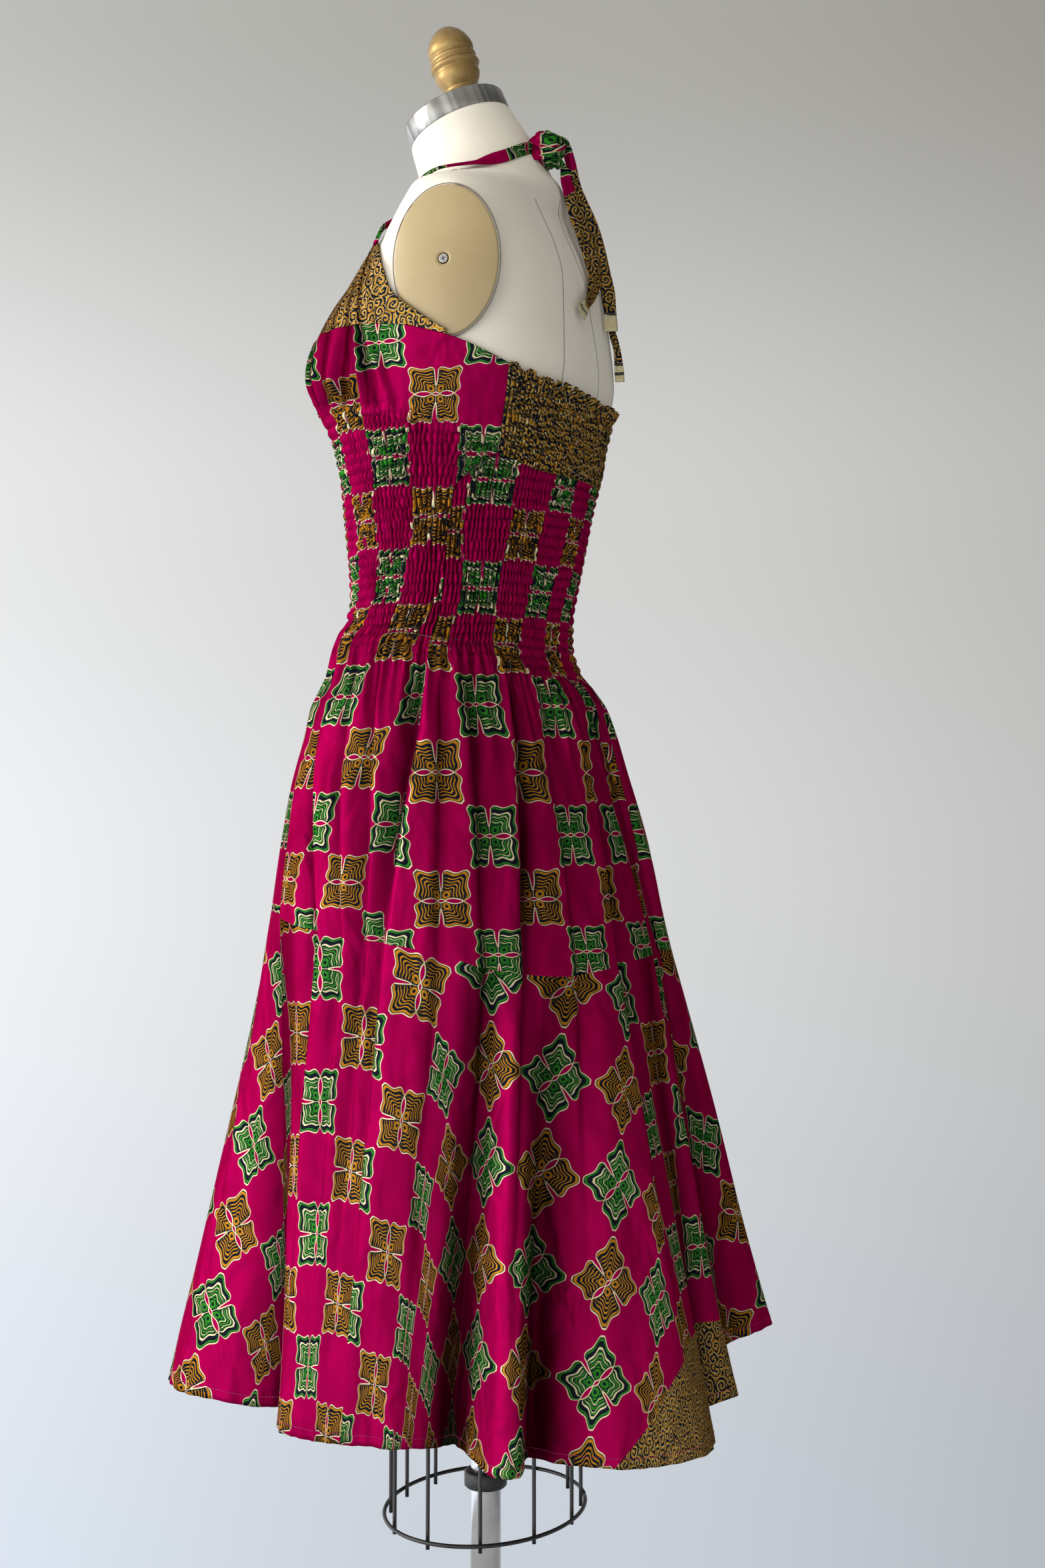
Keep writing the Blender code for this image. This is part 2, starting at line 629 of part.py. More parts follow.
# Smocked midriff, front and back

def back_top(side):
    """Upper edge of the back midriff."""
    if side < 118.9:
        return table(BACK_SHOULDER, side)
    return table(PANEL_BOTTOM, side)


def seam_height(i):
    """Height of row i on the side seam, two rows past its bend."""
    low = table(SMOCK_BOTTOM, 100.0) + GAP / 2
    if i <= SEAM_ROWS:
        return low + (1.2198 - GAP / 2 - low) * i / SEAM_ROWS
    return 1.2310 if i == SEAM_ROWS + 1 else 1.2420 - GAP / 2


def midriff_front_place(out, ribbed):
    def place(u, v, j, i):
        height = seam_height(i)
        edge = table(SIDE_SEAM, height) - 0.16
        share = abs(2 * u - 1)
        straight = 12 / 14
        if share <= straight:
            side = 92.0 * share / straight
        else:
            side = 92.0 + (edge - 92.0) * (share - straight) / (1 - straight)
        degrees = math.copysign(side, u - 0.5)
        low = table(SMOCK_BOTTOM, side) + GAP / 2
        top = table(SMOCK_TOP, side) - GAP / 2
        v = (height - seam_height(0)) / (seam_height(SEAM_ROWS + 2) - seam_height(0))
        z = low + (top - low) * v
        low = table(SMOCK_BOTTOM, edge) + GAP / 2
        top = table(SMOCK_TOP, edge) - GAP / 2
        z += (height - low - (top - low) * v) * share ** 8
        return cloth_point(degrees, z, rib(j, i, out) if ribbed else out)
    return place


def midriff_back_place(out, ribbed):
    def place(u, v, j, i):
        height = seam_height(i)
        edge = table(SIDE_SEAM, height) + 0.16
        share = abs(2 * u - 1)
        side = 180.0 - (180.0 - edge) * share
        degrees = side if u < 0.5 else 360.0 - side
        low = table(SMOCK_BOTTOM, side) + GAP / 2
        top = back_top(side) - GAP
        v = (height - seam_height(0)) / (seam_height(SEAM_ROWS) - seam_height(0))
        z = low + (top - low) * v
        low = table(SMOCK_BOTTOM, edge) + GAP / 2
        top = back_top(edge) - GAP
        z += (height - low - (top - low) * v) * share ** 8
        return cloth_point(degrees, z, rib(j, i, out) if ribbed else out)
    return place


outer = grid(SEAM_ROWS + 2, 2 * RIBS_FRONT, midriff_front_place(SMOCK_WALL, True))
inner = grid(SEAM_ROWS + 2, 28, midriff_front_place(0.0, False))
keep(wall_loft("midriff_front", outer, inner), "midriff_front", MAGENTA, 0.0, 0.8)
outer = grid(SEAM_ROWS, 2 * RIBS_BACK, midriff_back_place(SMOCK_WALL, True))
inner = grid(SEAM_ROWS, 20, midriff_back_place(0.0, False))
keep(wall_loft("midriff_back", outer, inner), "midriff_back", MAGENTA, 0.0, 0.8)

# Shirred back panel with its ruffled heading

def panel_place(out, ribbed):
    def place(u, v, j, i):
        degrees = PANEL_START + (360.0 - 2 * PANEL_START) * u
        side = abs(turned(degrees))
        low = table(PANEL_BOTTOM, side) + GAP / 2
        top = table(PANEL_TOP, side)
        z = low + (top - low) * v
        ends = min(1.0, 6.0 * min(u, 1.0 - u))
        flare = RUFFLE_OUT * max(0.0, (v - 0.74) / 0.26) ** 1.5 * ends
        add = rib(j, i, out) if ribbed else out
        if ribbed and v > 0.8:
            add = out + 0.0010 * math.sin(math.pi * j / 3.0) * ends
        return cloth_point(degrees, z, add + flare)
    return place


outer = grid(8, 2 * RIBS_PANEL, panel_place(SMOCK_WALL, True))
inner = grid(8, RIBS_PANEL, panel_place(0.0, False))
keep(wall_loft("back_panel", outer, inner), "back_panel", OCHRE, 0.0, 0.8)


# Upper skirt with gathers
def gather(quarter, v):
    """Height of the gathers, v from 0 at the lower seam to 1 at the smocking."""
    wave = (-1.0, 0.15, 1.0, 0.15)[quarter % 4]
    odd = 1.0 + 0.35 * math.sin(1.9 * (quarter // 4) + 0.7)
    size = 0.0011 + 0.0042 * math.sin(math.pi * min(v * 0.92 + 0.10, 1.0)) ** 0.8
    return size * wave * odd


def upper_place(start, end, first, out):
    def place(u, v, j, i):
        degrees = start + (end - start) * u
        sway = 1.6 * math.sin(math.radians(degrees) * 5.0 + 0.8) * math.sin(math.pi * u)
        degrees += sway
        side = abs(turned(degrees))
        low = table(SKIRT_SEAM, side) + GAP / 2
        top = table(SMOCK_BOTTOM, side) - GAP / 2
        z = low + (top - low) * v
        ends = min(1.0, 4.0 * min(u, 1.0 - u) + 0.15)
        puff = 0.0022 * math.sin(math.pi * v)
        return cloth_point(degrees, z, out + puff + gather(first + j, v) * ends)
    return place


for word, start, end, count, first in (
    ("front", -SKIRT_SIDE + SIDE_GAP, SKIRT_SIDE - SIDE_GAP, GATHERS_FRONT, 0),
    ("back", SKIRT_SIDE + SIDE_GAP, 360.0 - SKIRT_SIDE - SIDE_GAP, GATHERS_BACK, 64),
):
    outer = grid(4, 4 * count, upper_place(start, end, first, WALL + 0.0010))
    inner = grid(4, 4 * count, upper_place(start, end, first, 0.0010))
    name = "upper_skirt_" + word
    keep(wall_loft(name, outer, inner), name, MAGENTA, 0.0, 0.8)


# Lower skirt, flared from its seam to the folds of the hem
def hem_point(degrees):
    """Point on the outer edge of the hem."""
    rows = [(d - 360.0, r) for d, r in HEM] + list(HEM) + [(d + 360.0, r) for d, r in HEM]
    r = table(rows, degrees % 360.0)
    t = math.radians(degrees)
    x = HEM_CENTRE[0] + r * math.sin(t)
    y = HEM_CENTRE[1] - r * math.cos(t)
    return Vector((x, y, table(HEM_HEIGHT, degrees % 360.0)))


def lower_line(degrees, v):
    """Point on the outer face, v from 0 at the hem to 1 at the seam."""
    z = table(SKIRT_SEAM, abs(turned(degrees))) - GAP / 2
    top = cloth_point(degrees, z, WALL + 0.0010)
    low = hem_point(degrees)
    return low + (top - low) * v


def lower_grid(degrees, rows, thick):
    """Points of one face, moved in by a thickness square to the folds."""
    result = []
    for i in range(rows + 1):
        row = []
        for d in degrees:
            p = lower_line(d, i / rows)
            if thick:
                q = lower_line(d + 1.6, i / rows) - lower_line(d - 1.6, i / rows)
                normal = Vector((q.y, -q.x, 0.0)).normalized()
                p = p - normal * thick
            row.append(p)
        result.append(row)
    return result


stops = []
for k, (d, r) in enumerate(HEM):
    after = HEM[k + 1][0] if k + 1 < len(HEM) else 360.0
    stops += [float(d), (d + after) / 2.0]
front_stops = [d - 360.0 for d in stops if d > 361.6 - SKIRT_SIDE]
front_stops += [d for d in stops if d < SKIRT_SIDE - 1.6]
back_stops = [d for d in stops if SKIRT_SIDE + 1.6 < d < 358.4 - SKIRT_SIDE]
front_stops = [-SKIRT_SIDE + SIDE_GAP] + front_stops + [SKIRT_SIDE - SIDE_GAP]
back_stops = [SKIRT_SIDE + SIDE_GAP] + back_stops + [360.0 - SKIRT_SIDE - SIDE_GAP]
for word, degrees in (("front", front_stops), ("back", back_stops)):
    name = "lower_skirt_" + word
    outer = lower_grid(degrees, 5, 0.0)
    inner = lower_grid(degrees, 5, WALL)
    keep(wall_loft(name, outer, inner), name, MAGENTA, 0.0, 0.8)


# Halter straps, knot and tie ends
def band(name, stations, thick, crease, colour):
    """Flat strip of cloth through stations of centre, width direction and width."""
    rings = []
    n = len(stations)
    for k in range(n):
        centre, across, width = stations[k]
        before = stations[max(k - 1, 0)][0]
        after = stations[min(k + 1, n - 1)][0]
        along = (after - before).normalized()
        across = (across - along * across.dot(along)).normalized()
        normal = along.cross(across).normalized()
        bend = normal * (crease * (1 if k % 2 else 0.6))
        half = across * (width / 2)
        up = normal * (thick / 2)
        rings.append([
            centre - half - up, centre - up + bend, centre + half - up,
            centre + half + up, centre + up + bend, centre - half + up,
        ])
    return keep(tube_loft(name, rings), name, colour, 0.0, 0.8, False)


def strap_stations(side):
    result = []
    for k, (degrees, z, off) in enumerate(STRAP):
        p = form_point(degrees, z)
        ahead = form_point(degrees + 1.0, z) - form_point(degrees - 1.0, z)
        rise = form_point(degrees, z + 0.002) - form_point(degrees, z - 0.002)
        normal = ahead.cross(rise).normalized()
        if normal.dot(Vector((p.x, p.y, 0.3 * (z - 1.4)))) < 0:
            normal = -normal
        centre = p + normal * off
        before = STRAP[max(k - 1, 0)]
        after = STRAP[min(k + 1, len(STRAP) - 1)]
        along = form_point(after[0], after[1]) - form_point(before[0], before[1])
        across = normal.cross(along).normalized()
        width = STRAP_WIDTH * (0.8 if k == 0 else 1.0)
        centre = Vector((centre.x * side, centre.y, centre.z))
        across = Vector((across.x * side, across.y, across.z))
        result.append((centre, across, width))
    return result


band("strap_left", strap_stations(1), WALL, 0.0004, MAGENTA)
band("strap_right", strap_stations(-1), WALL, 0.0004, MAGENTA)

bpy.ops.mesh.primitive_uv_sphere_add(segments=12, ring_count=8, radius=1.0, location=KNOT)
knot = keep(bpy.context.object, "neck_knot", MAGENTA, 0.0, 0.8)
for v in knot.data.vertices:
    x, y, z = v.co
    bump = 1.0 + 0.07 * math.sin(5.0 * x + 2.0 * z) * math.cos(4.0 * z - 3.0 * y)
    v.co = Vector((x * KNOT_RADII[0], y * KNOT_RADII[1], z * KNOT_RADII[2])) * bump

for name, stations, colour in (
    ("tie_tail_near", NEAR_TAIL, OCHRE),
    ("tie_tail_outer", OUTER_TAIL, OCHRE),
    ("tie_tail_thin", THIN_TAIL, OCHRE),
):
    rows = [(Vector(p), Vector((w[0], w[1], 0.0)), size) for p, w, size in stations]
    band(name, rows, WALL, 0.0005, colour)
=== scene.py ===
"""Looks of the halter dress on its dress form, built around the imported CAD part."""
import math

import bpy
import numpy as np
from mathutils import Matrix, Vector


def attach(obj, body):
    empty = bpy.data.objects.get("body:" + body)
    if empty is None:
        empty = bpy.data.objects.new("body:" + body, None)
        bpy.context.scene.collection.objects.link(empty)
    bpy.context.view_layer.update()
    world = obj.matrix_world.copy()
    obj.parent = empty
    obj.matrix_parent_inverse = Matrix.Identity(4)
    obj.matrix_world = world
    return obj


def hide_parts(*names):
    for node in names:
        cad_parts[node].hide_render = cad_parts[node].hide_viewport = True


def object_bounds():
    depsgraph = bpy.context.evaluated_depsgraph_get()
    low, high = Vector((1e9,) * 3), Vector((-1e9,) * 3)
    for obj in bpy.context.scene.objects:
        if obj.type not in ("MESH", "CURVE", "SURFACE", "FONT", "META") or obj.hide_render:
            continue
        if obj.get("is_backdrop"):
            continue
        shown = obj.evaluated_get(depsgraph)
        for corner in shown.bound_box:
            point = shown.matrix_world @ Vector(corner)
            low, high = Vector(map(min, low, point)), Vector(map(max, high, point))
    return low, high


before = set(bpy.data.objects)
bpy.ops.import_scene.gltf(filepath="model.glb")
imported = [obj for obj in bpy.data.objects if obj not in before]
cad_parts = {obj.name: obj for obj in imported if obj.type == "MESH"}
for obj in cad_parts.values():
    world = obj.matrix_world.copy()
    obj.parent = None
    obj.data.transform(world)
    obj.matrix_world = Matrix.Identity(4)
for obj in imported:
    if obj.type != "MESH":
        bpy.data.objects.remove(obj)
cad_low, cad_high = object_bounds()

# Camera: place, aim and lens, worked out from the photo's level lines
CAMERA_PLACE = (1.731, 0.595, 0.980)
CAMERA_TOWARDS = (-0.951, -0.309, 0.0)
CAMERA_LENS = 50.0
CAMERA_SENSOR = 36.0

# Sizes of the cloth, its lengths in metres and its ends in degrees from the front
WALL = 0.0016
SMOCK_WALL = 0.0026
CLOTH_OFF_FORM = 0.0012
THREAD = 0.00062
YOKE_START = 0.12
YOKE_END = 99.0
YOKE_POINT = 60.0
YOKE_OFF_BODICE = 0.00014  # from the bodice's top edge to the yoke's lower edge
BODICE_END = 118.6
PANEL_START = 118.5
MIDRIFF_FOOT = 1.0964  # height of the midriffs' lower corners at the side seam
HIP_Z = 0.980
SKIRT_SIDE = 100.0
STRAP_WIDTH = 0.0100
STRAP_CUT = 0.0115  # finished width of the strap as it is sewn
KNOT = (0.0050, 0.0540, 1.5060)
KNOT_RADII = (0.0150, 0.0160, 0.0165)
KNOT_LEAN = 0.5  # how far the turn of strap round the knot drops for each metre to the side
TIE_TIP = 0.017  # cream end of a tail
TIE_HEAD = 0.036  # flowered start of a tail
STRIP_SIDES = 18  # points round a strap or a tail

# Sizes of the form, its stand and its cage
AIR = 0.0003
NECK_TOP = (-0.0217, 1.5300, 23.2)  # centre y, centre z and forward lean in degrees
NECK_TOP_RADIUS = 0.0448
CAP_HEIGHT = 0.0180
FINIAL_FOOT = (-0.0183, 1.5520, 15.5)  # y, z and forward lean in degrees
TORSO_SIDE_X = 0.1460  # where the torso is cut flat for the arm plates
ARM_PLATE_X = 0.1464
ARM_PLATE_Y = 0.0180
ARM_PLATE_Z = 1.3855
ARM_PLATE_HALF_DEPTH = 0.0430
ARM_PLATE_HALF_HEIGHT = 0.0585
ARM_PLATE_EDGE = 0.0010
ARM_PLATE_DOME = 0.0060
TORSO_BOTTOM = 0.8700
POLE_RADIUS = 0.0127
COLLAR_RADIUS = 0.0180
COLLAR_TOP = 0.4050
COLLAR_HEIGHT = 0.0150
BASE_RADIUS = 0.2000
BASE_EDGE = 0.0120
HUB_RADIUS = 0.0300
HUB_TOP = 0.0600
WIRE_RADIUS = 0.0017
HOOP_Z = 0.3750
HOOP_HALF_WIDTH = 0.1050
HOOP_HALF_DEPTH = 0.0815
HOOP_OPENING = 208.0  # degrees from the front, where the hoop's ends don't meet
HOOP_GAP = 3.2  # degrees between the hoop's ends
WIRES = (15, 47, 79, 111, 143, 176, 203, 232, 262, 294, 327, 351)  # degrees from the front
SCREW_RADIUS = 0.0036
SCREW_DEPTH = 0.0024
SCREW_RECESS = 0.0050
CANVAS_THREAD = 0.0009
SIDES = ((1, "left"), (-1, "right"))

# Bust: degrees of its middle, its height, and how far it reaches upwards and to the side
BUST_DEGREES = 41.0
BUST_Z = 1.312
BUST_UP = 0.070
BUST_TO_SIDE = 20.0

# The cloth follows the skirt's sections up to the first height and the torso's from the second
SKIRT_UP_TO = 1.112
TORSO_FROM = 1.137

# Print: one check of the repeat, and where the border starts on the flat cloth of the back's lower skirt
CHECK = 0.0515
BORDER_FROM = 0.368

# Shirring: degrees of its two ends, ribs between them, and a seed for what makes them uneven
SHIRR_FRONT = (-100.0, 100.0, 106, 3.0)
SHIRR_BACK = (100.0, 260.0, 88, 8.0)
SHIRR_PANEL = (119.0, 241.0, 84, 13.0)
SHIRR_ROW = 0.0082  # from one elastic thread to the next
PUFF = 0.0020
PUFF_FOOT = SMOCK_WALL - 0.0014
POINTS_PER_RIB = 7

# Rows of flowers: height on the body, row
ROWS_FRONT = (
    (0.8155, -1), (0.862, 0), (0.904, 1), (0.949, 2), (1.001, 3), (1.049, 4), (1.102, 5),
    (1.146, 6), (1.192, 7), (1.239, 8), (1.284, 9), (1.325, 10), (1.370, 11),
)
ROWS_BACK = (
    (0.806, -1), (0.850, 0), (0.891, 1), (0.940, 2), (0.989, 3), (1.042, 4), (1.092, 5),
    (1.136, 6), (1.180, 7), (1.220, 8), (1.265, 9),
)

# Columns of flowers: height, degrees of one column, degrees from column to column
COLUMN_FRONT = (
    (0.83, 75.0, 12.4), (0.895, 76.1, 12.5), (0.95, 78.4, 12.8), (1.00, 80.9, 13.0),
    (1.05, 85.0, 13.3), (1.11, 89.5, 13.8), (1.19, 95.2, 16.0), (1.285, 95.7, 17.6), (1.35, 96.5, 18.5),
)
COLUMN_BACK = (
    (0.83, 129.2, 12.8), (0.95, 129.5, 13.3), (0.989, 129.8, 13.8), (1.04, 130.6, 15.0),
    (1.092, 131.7, 16.2), (1.135, 133.6, 17.2), (1.184, 136.0, 18.6), (1.24, 138.5, 20.0),
)

# Torso sections: height, half width, half depth, centre y, roundness exponent
TORSO = (
    (0.870, 0.1560, 0.1094, -0.0078, 2.00),
    (0.935, 0.1630, 0.1136, -0.0062, 2.00),
    (0.980, 0.1580, 0.1080, -0.0089, 2.00),
    (1.020, 0.1480, 0.0996, -0.0127, 2.00),
    (1.045, 0.1410, 0.0942, -0.0164, 2.00),
    (1.067, 0.1340, 0.0906, -0.0186, 2.00),
    (1.090, 0.1240, 0.0851, -0.0218, 2.00),
    (1.112, 0.1150, 0.0844, -0.0216, 2.00),
    (1.135, 0.1090, 0.0876, -0.0189, 2.00),
    (1.160, 0.1100, 0.0912, -0.0170, 2.00),
    (1.184, 0.1135, 0.0939, -0.0157, 2.05),
    (1.210, 0.1195, 0.0965, -0.0141, 2.10),
    (1.237, 0.1260, 0.0984, -0.0114, 2.20),
    (1.262, 0.1320, 0.1004, -0.0098, 2.30),
    (1.290, 0.1390, 0.1032, -0.0073, 2.40),
    (1.315, 0.1450, 0.1044, -0.0055, 2.50),
    (1.340, 0.1495, 0.1009, -0.0047, 2.60),
    (1.366, 0.1515, 0.0926, -0.0010, 2.70),
    (1.394, 0.1525, 0.0812, 0.0056, 2.70),
    (1.420, 0.1515, 0.0679, 0.0089, 2.60),
    (1.440, 0.1495, 0.0572, 0.0110, 2.50),
    (1.447, 0.1470, 0.0544, 0.0115, 2.40),
    (1.455, 0.1400, 0.0523, 0.0114, 2.30),
    (1.461, 0.1250, 0.0527, 0.0119, 2.20),
    (1.4685, 0.1000, 0.0548, 0.0110, 2.10),
    (1.474, 0.0800, 0.0588, 0.0063, 2.00),
    (1.480, 0.0630, 0.0590, 0.0036, 2.00),
    (1.487, 0.0580, 0.0557, 0.0008, 2.00),
)

# Neck rings: order, centre y, centre z, half width, half depth, lean in degrees
NECK = (
    (0.0, 0.0008, 1.4870, 0.0580, 0.0557, 0.0),
    (1.0, -0.0075, 1.5025, 0.0535, 0.0503, 14.0),
    (2.0, -0.0217, 1.5300, 0.0448, 0.0448, 23.2),
)

# Skirt sections inside the cloth: height, half width, half depth, centre y, exponent
SKIRT = (
    (0.470, 0.2600, 0.2530, -0.0079, 2.00),
    (0.850, 0.1842, 0.1609, -0.0139, 2.00),
    (0.880, 0.1812, 0.1550, -0.0156, 2.00),
    (0.927, 0.1762, 0.1461, -0.0173, 2.00),
    (0.980, 0.1682, 0.1330, -0.0201, 2.00),
    (1.020, 0.1582, 0.1218, -0.0213, 2.00),
    (1.045, 0.1490, 0.1144, -0.0240, 2.00),
    (1.067, 0.1378, 0.1007, -0.0252, 2.00),
    (1.090, 0.1260, 0.0929, -0.0267, 2.00),
    (1.112, 0.1165, 0.0886, -0.0224, 2.00),
    (1.137, 0.1100, 0.0887, -0.0188, 2.00),
)

# Edges of the pieces: degrees from the front towards the wearer's left, height
YOKE_TOP = (
    (0, 1.3400), (12, 1.3620), (24, 1.3880), (33, 1.4100), (36, 1.4145), (41, 1.4145),
    (48, 1.4155), (58, 1.4150), (64, 1.4130), (68, 1.4085), (71, 1.4020), (74, 1.3920), (77, 1.3800),
    (79.4, 1.3693), (82.8, 1.3597), (89.4, 1.3474), (95.7, 1.3363), (99.3, 1.3310),
)
BODICE_TOP = (
    (0, 1.3320), (30, 1.3390), (55, 1.3420), (70.4, 1.3412), (79, 1.3394),
    (85.2, 1.3375), (89.4, 1.3350), (94.8, 1.3312), (99.3, 1.3275), (105, 1.3222),
    (111, 1.3155), (118.5, 1.3075),
)
SMOCK_TOP = (
    (0, 1.2790), (45, 1.2770), (66, 1.2742), (79, 1.2700), (88, 1.2640),
    (96, 1.2590), (104.4, 1.2535), (113.3, 1.2457), (119, 1.2420),
)
SMOCK_BOTTOM = (
    (0, 1.1180), (46, 1.1147), (82, 1.1044), (99, 1.0960), (113, 1.0930),
    (130, 1.0864), (154, 1.0726), (180, 1.0660),
)
PANEL_TOP = (
    (116, 1.3084), (123.4, 1.3049), (132, 1.2995), (141.6, 1.2970), (160.5, 1.2942),
    (180, 1.2912),
)
PANEL_BOTTOM = (
    (118, 1.2402), (124.3, 1.2355), (134.9, 1.2300), (149.5, 1.2284), (180, 1.2277),
)
BACK_SHOULDER = ((105.5, 1.2198), (112, 1.2295), (118, 1.2402))
SKIRT_SEAM = (
    (0, 0.8780), (45, 0.8746), (70, 0.8630), (91, 0.8578), (102, 0.8515),
    (112, 0.8405), (122, 0.8345), (135, 0.8318), (155, 0.8385), (180, 0.8444),
)
SIDE_SEAM = (
    (1.0900, 100.0), (1.1300, 100.6), (1.1600, 100.6), (1.1870, 102.1),
    (1.2198, 105.5), (1.2310, 112.2), (1.2420, 119.0),
)

# Hem folds: degrees from the front and radius round a centre x, y, three times round so that a curve
# through them has no end, and the hem's height
HEM = (
    (0, 0.246), (8, 0.255), (15, 0.257), (24, 0.244), (33, 0.205), (42, 0.163),
    (49, 0.166), (54, 0.186), (60, 0.197), (70, 0.188), (80, 0.182), (90, 0.178),
    (97, 0.166), (104, 0.148), (109, 0.182), (113, 0.232), (117.5, 0.243), (121.5, 0.196),
    (127, 0.216), (136, 0.247), (144, 0.264), (150.5, 0.271), (155, 0.258), (160, 0.232),
    (166, 0.216), (173, 0.236), (178, 0.224), (186, 0.208), (195, 0.216), (205, 0.258),
    (213, 0.250), (223, 0.208), (232, 0.196), (241, 0.236), (250, 0.250),
    (259, 0.220), (268, 0.190), (277, 0.226), (287, 0.252), (297, 0.242),
    (306, 0.190), (314, 0.178), (323, 0.226), (332, 0.252), (341, 0.244),
    (350, 0.232),
)
HEM_ROUND = [(degrees + turn, radius) for turn in (-360.0, 0.0, 360.0) for degrees, radius in HEM]
HEM_CENTRE = (0.0040, -0.0110)
HEM_HEIGHT = (
    (0, 0.478), (60, 0.474), (110, 0.471), (150, 0.477), (175, 0.496), (205, 0.520),
    (232, 0.502), (265, 0.480), (310, 0.475), (360, 0.478),
)

# Folds of the bust: degrees at the smocking, degrees further back at the yoke, width, strength
BUST_FOLDS = (
    (8, 4, 3.0, 0.5), (18, 2, 2.8, 0.7), (28, 0, 2.6, 0.8), (37, -1, 2.4, 1.0), (45, 1, 2.3, 1.0),
    (52, 4, 2.0, 0.9), (59, 8, 2.5, 1.0), (68, 0, 0.9, 0.6), (72.5, -1.5, 1.2, 1.0),
    (76, -6, 1.1, 0.9), (83, -8, 1.4, 0.5), (97, -3, 3.0, 0.12),
)

# Folds of the yoke: degrees past the strap's point, width, height
YOKE_FOLDS = (
    (-38, 5, 0.0016), (-24, 4, 0.0022), (-12, 3.6, 0.0030), (-1, 3.2, 0.0034), (8, 3.0, 0.0028),
    (20, 5, 0.0012),
)

# Shade between the yoke's folds: degrees past the strap's point, width, strength
YOKE_SHADES = (
    (-32, 3.2, 0.6), (-20, 3.0, 0.7), (-10, 2.4, 0.8), (-2, 2.0, 0.8), (5.5, 1.6, 0.9), (11, 1.5, 1.0),
    (17, 1.6, 0.4),
)

# Creases of the upper skirt: degrees at the waist, degrees at the seam,
# depth, cloth hidden in it, and the side that is steep: -1 the front's, 1 the back's
CREASES = (
    (-97, -88, 0.0050, 0.006, -1), (-86, -79, 0.0090, 0.014, -1), (-71, -70, 0.0050, 0.006, 1),
    (-60, -57, 0.0070, 0.010, -1), (-47, -49, 0.0100, 0.016, 1), (-33, -35, 0.0050, 0.005, -1),
    (-22, -21, 0.0080, 0.010, 1), (-8, -9, 0.0060, 0.008, -1), (5, 4, 0.0090, 0.014, 1),
    (18, 20, 0.0050, 0.006, 1), (31, 29, 0.0070, 0.010, 1), (43, 46, 0.0065, 0.007, 1),
    (55, 66, 0.0105, 0.016, 1), (72, 76, 0.0042, 0.006, 1), (84, 82, 0.0050, 0.005, 1),
    (99, 88, 0.0085, 0.010, 1), (105, 101, 0.0050, 0.006, -1), (114, 113, 0.0070, 0.010, -1),
    (128, 124, 0.0115, 0.020, -1), (140, 138, 0.0045, 0.008, -1), (160, 153, 0.0120, 0.020, -1),
    (172, 174, 0.0095, 0.016, -1), (183, 186, 0.0060, 0.007, 1), (195, 193, 0.0100, 0.016, 1),
    (208, 210, 0.0060, 0.007, -1), (221, 219, 0.0095, 0.014, 1), (234, 236, 0.0055, 0.007, -1),
    (247, 249, 0.0090, 0.014, 1), (259, 262, 0.0060, 0.006, -1),
)

# Side seam of the skirts at its top, at the horizontal seam and at the hem
SEAM_AT_WAIST = 100.0
SEAM_AT_MIDDLE = 88.0
SEAM_AT_HEM = 76.0

# Turn of the lower skirt's grain: degrees round the body, degrees it is turned by
TURN_FRONT = (
    (-90, -70), (-60, -63), (-30, -56), (0, -46), (12, -41), (25, -36), (36, -33), (44, -26),
    (52, -14), (60, -8), (70, -5), (76, 0), (90, 4),
)
TURN_BACK = (
    (70, -3), (82, -1), (90, 3), (96, 9), (100.5, 22), (107, 35), (114.7, 46), (127, 53),
    (137, 57), (143, 62), (150, 74), (157, 86), (166, 95), (178, 104), (210, 118), (240, 130),
    (262, 138), (290, 145),
)

# Hanging tie ends: centre x, y, z, width direction x, y, width
NEAR_TAIL = (
    (0.0060, 0.0600, 1.5040, -0.20, 0.98, 0.0085),
    (0.0010, 0.0660, 1.4930, -0.20, 0.98, 0.0085),
    (0.0020, 0.0704, 1.4883, -0.85, 0.52, 0.0110),
    (0.0000, 0.0712, 1.4790, -0.85, 0.52, 0.0125),
    (-0.0100, 0.0752, 1.4627, -0.80, 0.60, 0.0160),
    (-0.0220, 0.0795, 1.4406, -0.80, 0.60, 0.0165),
    (-0.0220, 0.0865, 1.4186, -0.80, 0.60, 0.0165),
    (-0.0120, 0.0920, 1.3990, -0.90, 0.43, 0.0140),
    (0.0080, 0.0950, 1.3820, -0.97, 0.25, 0.0095),
    (0.0280, 0.0965, 1.3710, -1.00, 0.06, 0.0090),
    (0.0430, 0.0968, 1.3600, -0.99, 0.12, 0.0120),
)
OUTER_TAIL = (
    (0.0050, 0.0600, 1.5170, -0.10, 1.00, 0.0085),
    (-0.0010, 0.0670, 1.5144, -0.10, 1.00, 0.0090),
    (-0.0090, 0.0680, 1.5118, -0.10, 1.00, 0.0085),
    (-0.0155, 0.0700, 1.4990, -0.10, 1.00, 0.0085),
    (-0.0250, 0.0720, 1.4800, -0.30, 0.95, 0.0095),
    (-0.0400, 0.0805, 1.4520, -0.50, 0.85, 0.0120),
    (-0.0460, 0.0880, 1.4230, -0.60, 0.80, 0.0125),
    (-0.0460, 0.0945, 1.3966, -0.60, 0.80, 0.0110),
    (-0.0430, 0.0965, 1.3773, -0.50, 0.85, 0.0110),
    (-0.0380, 0.0985, 1.3618, -0.40, 0.90, 0.0120),
)
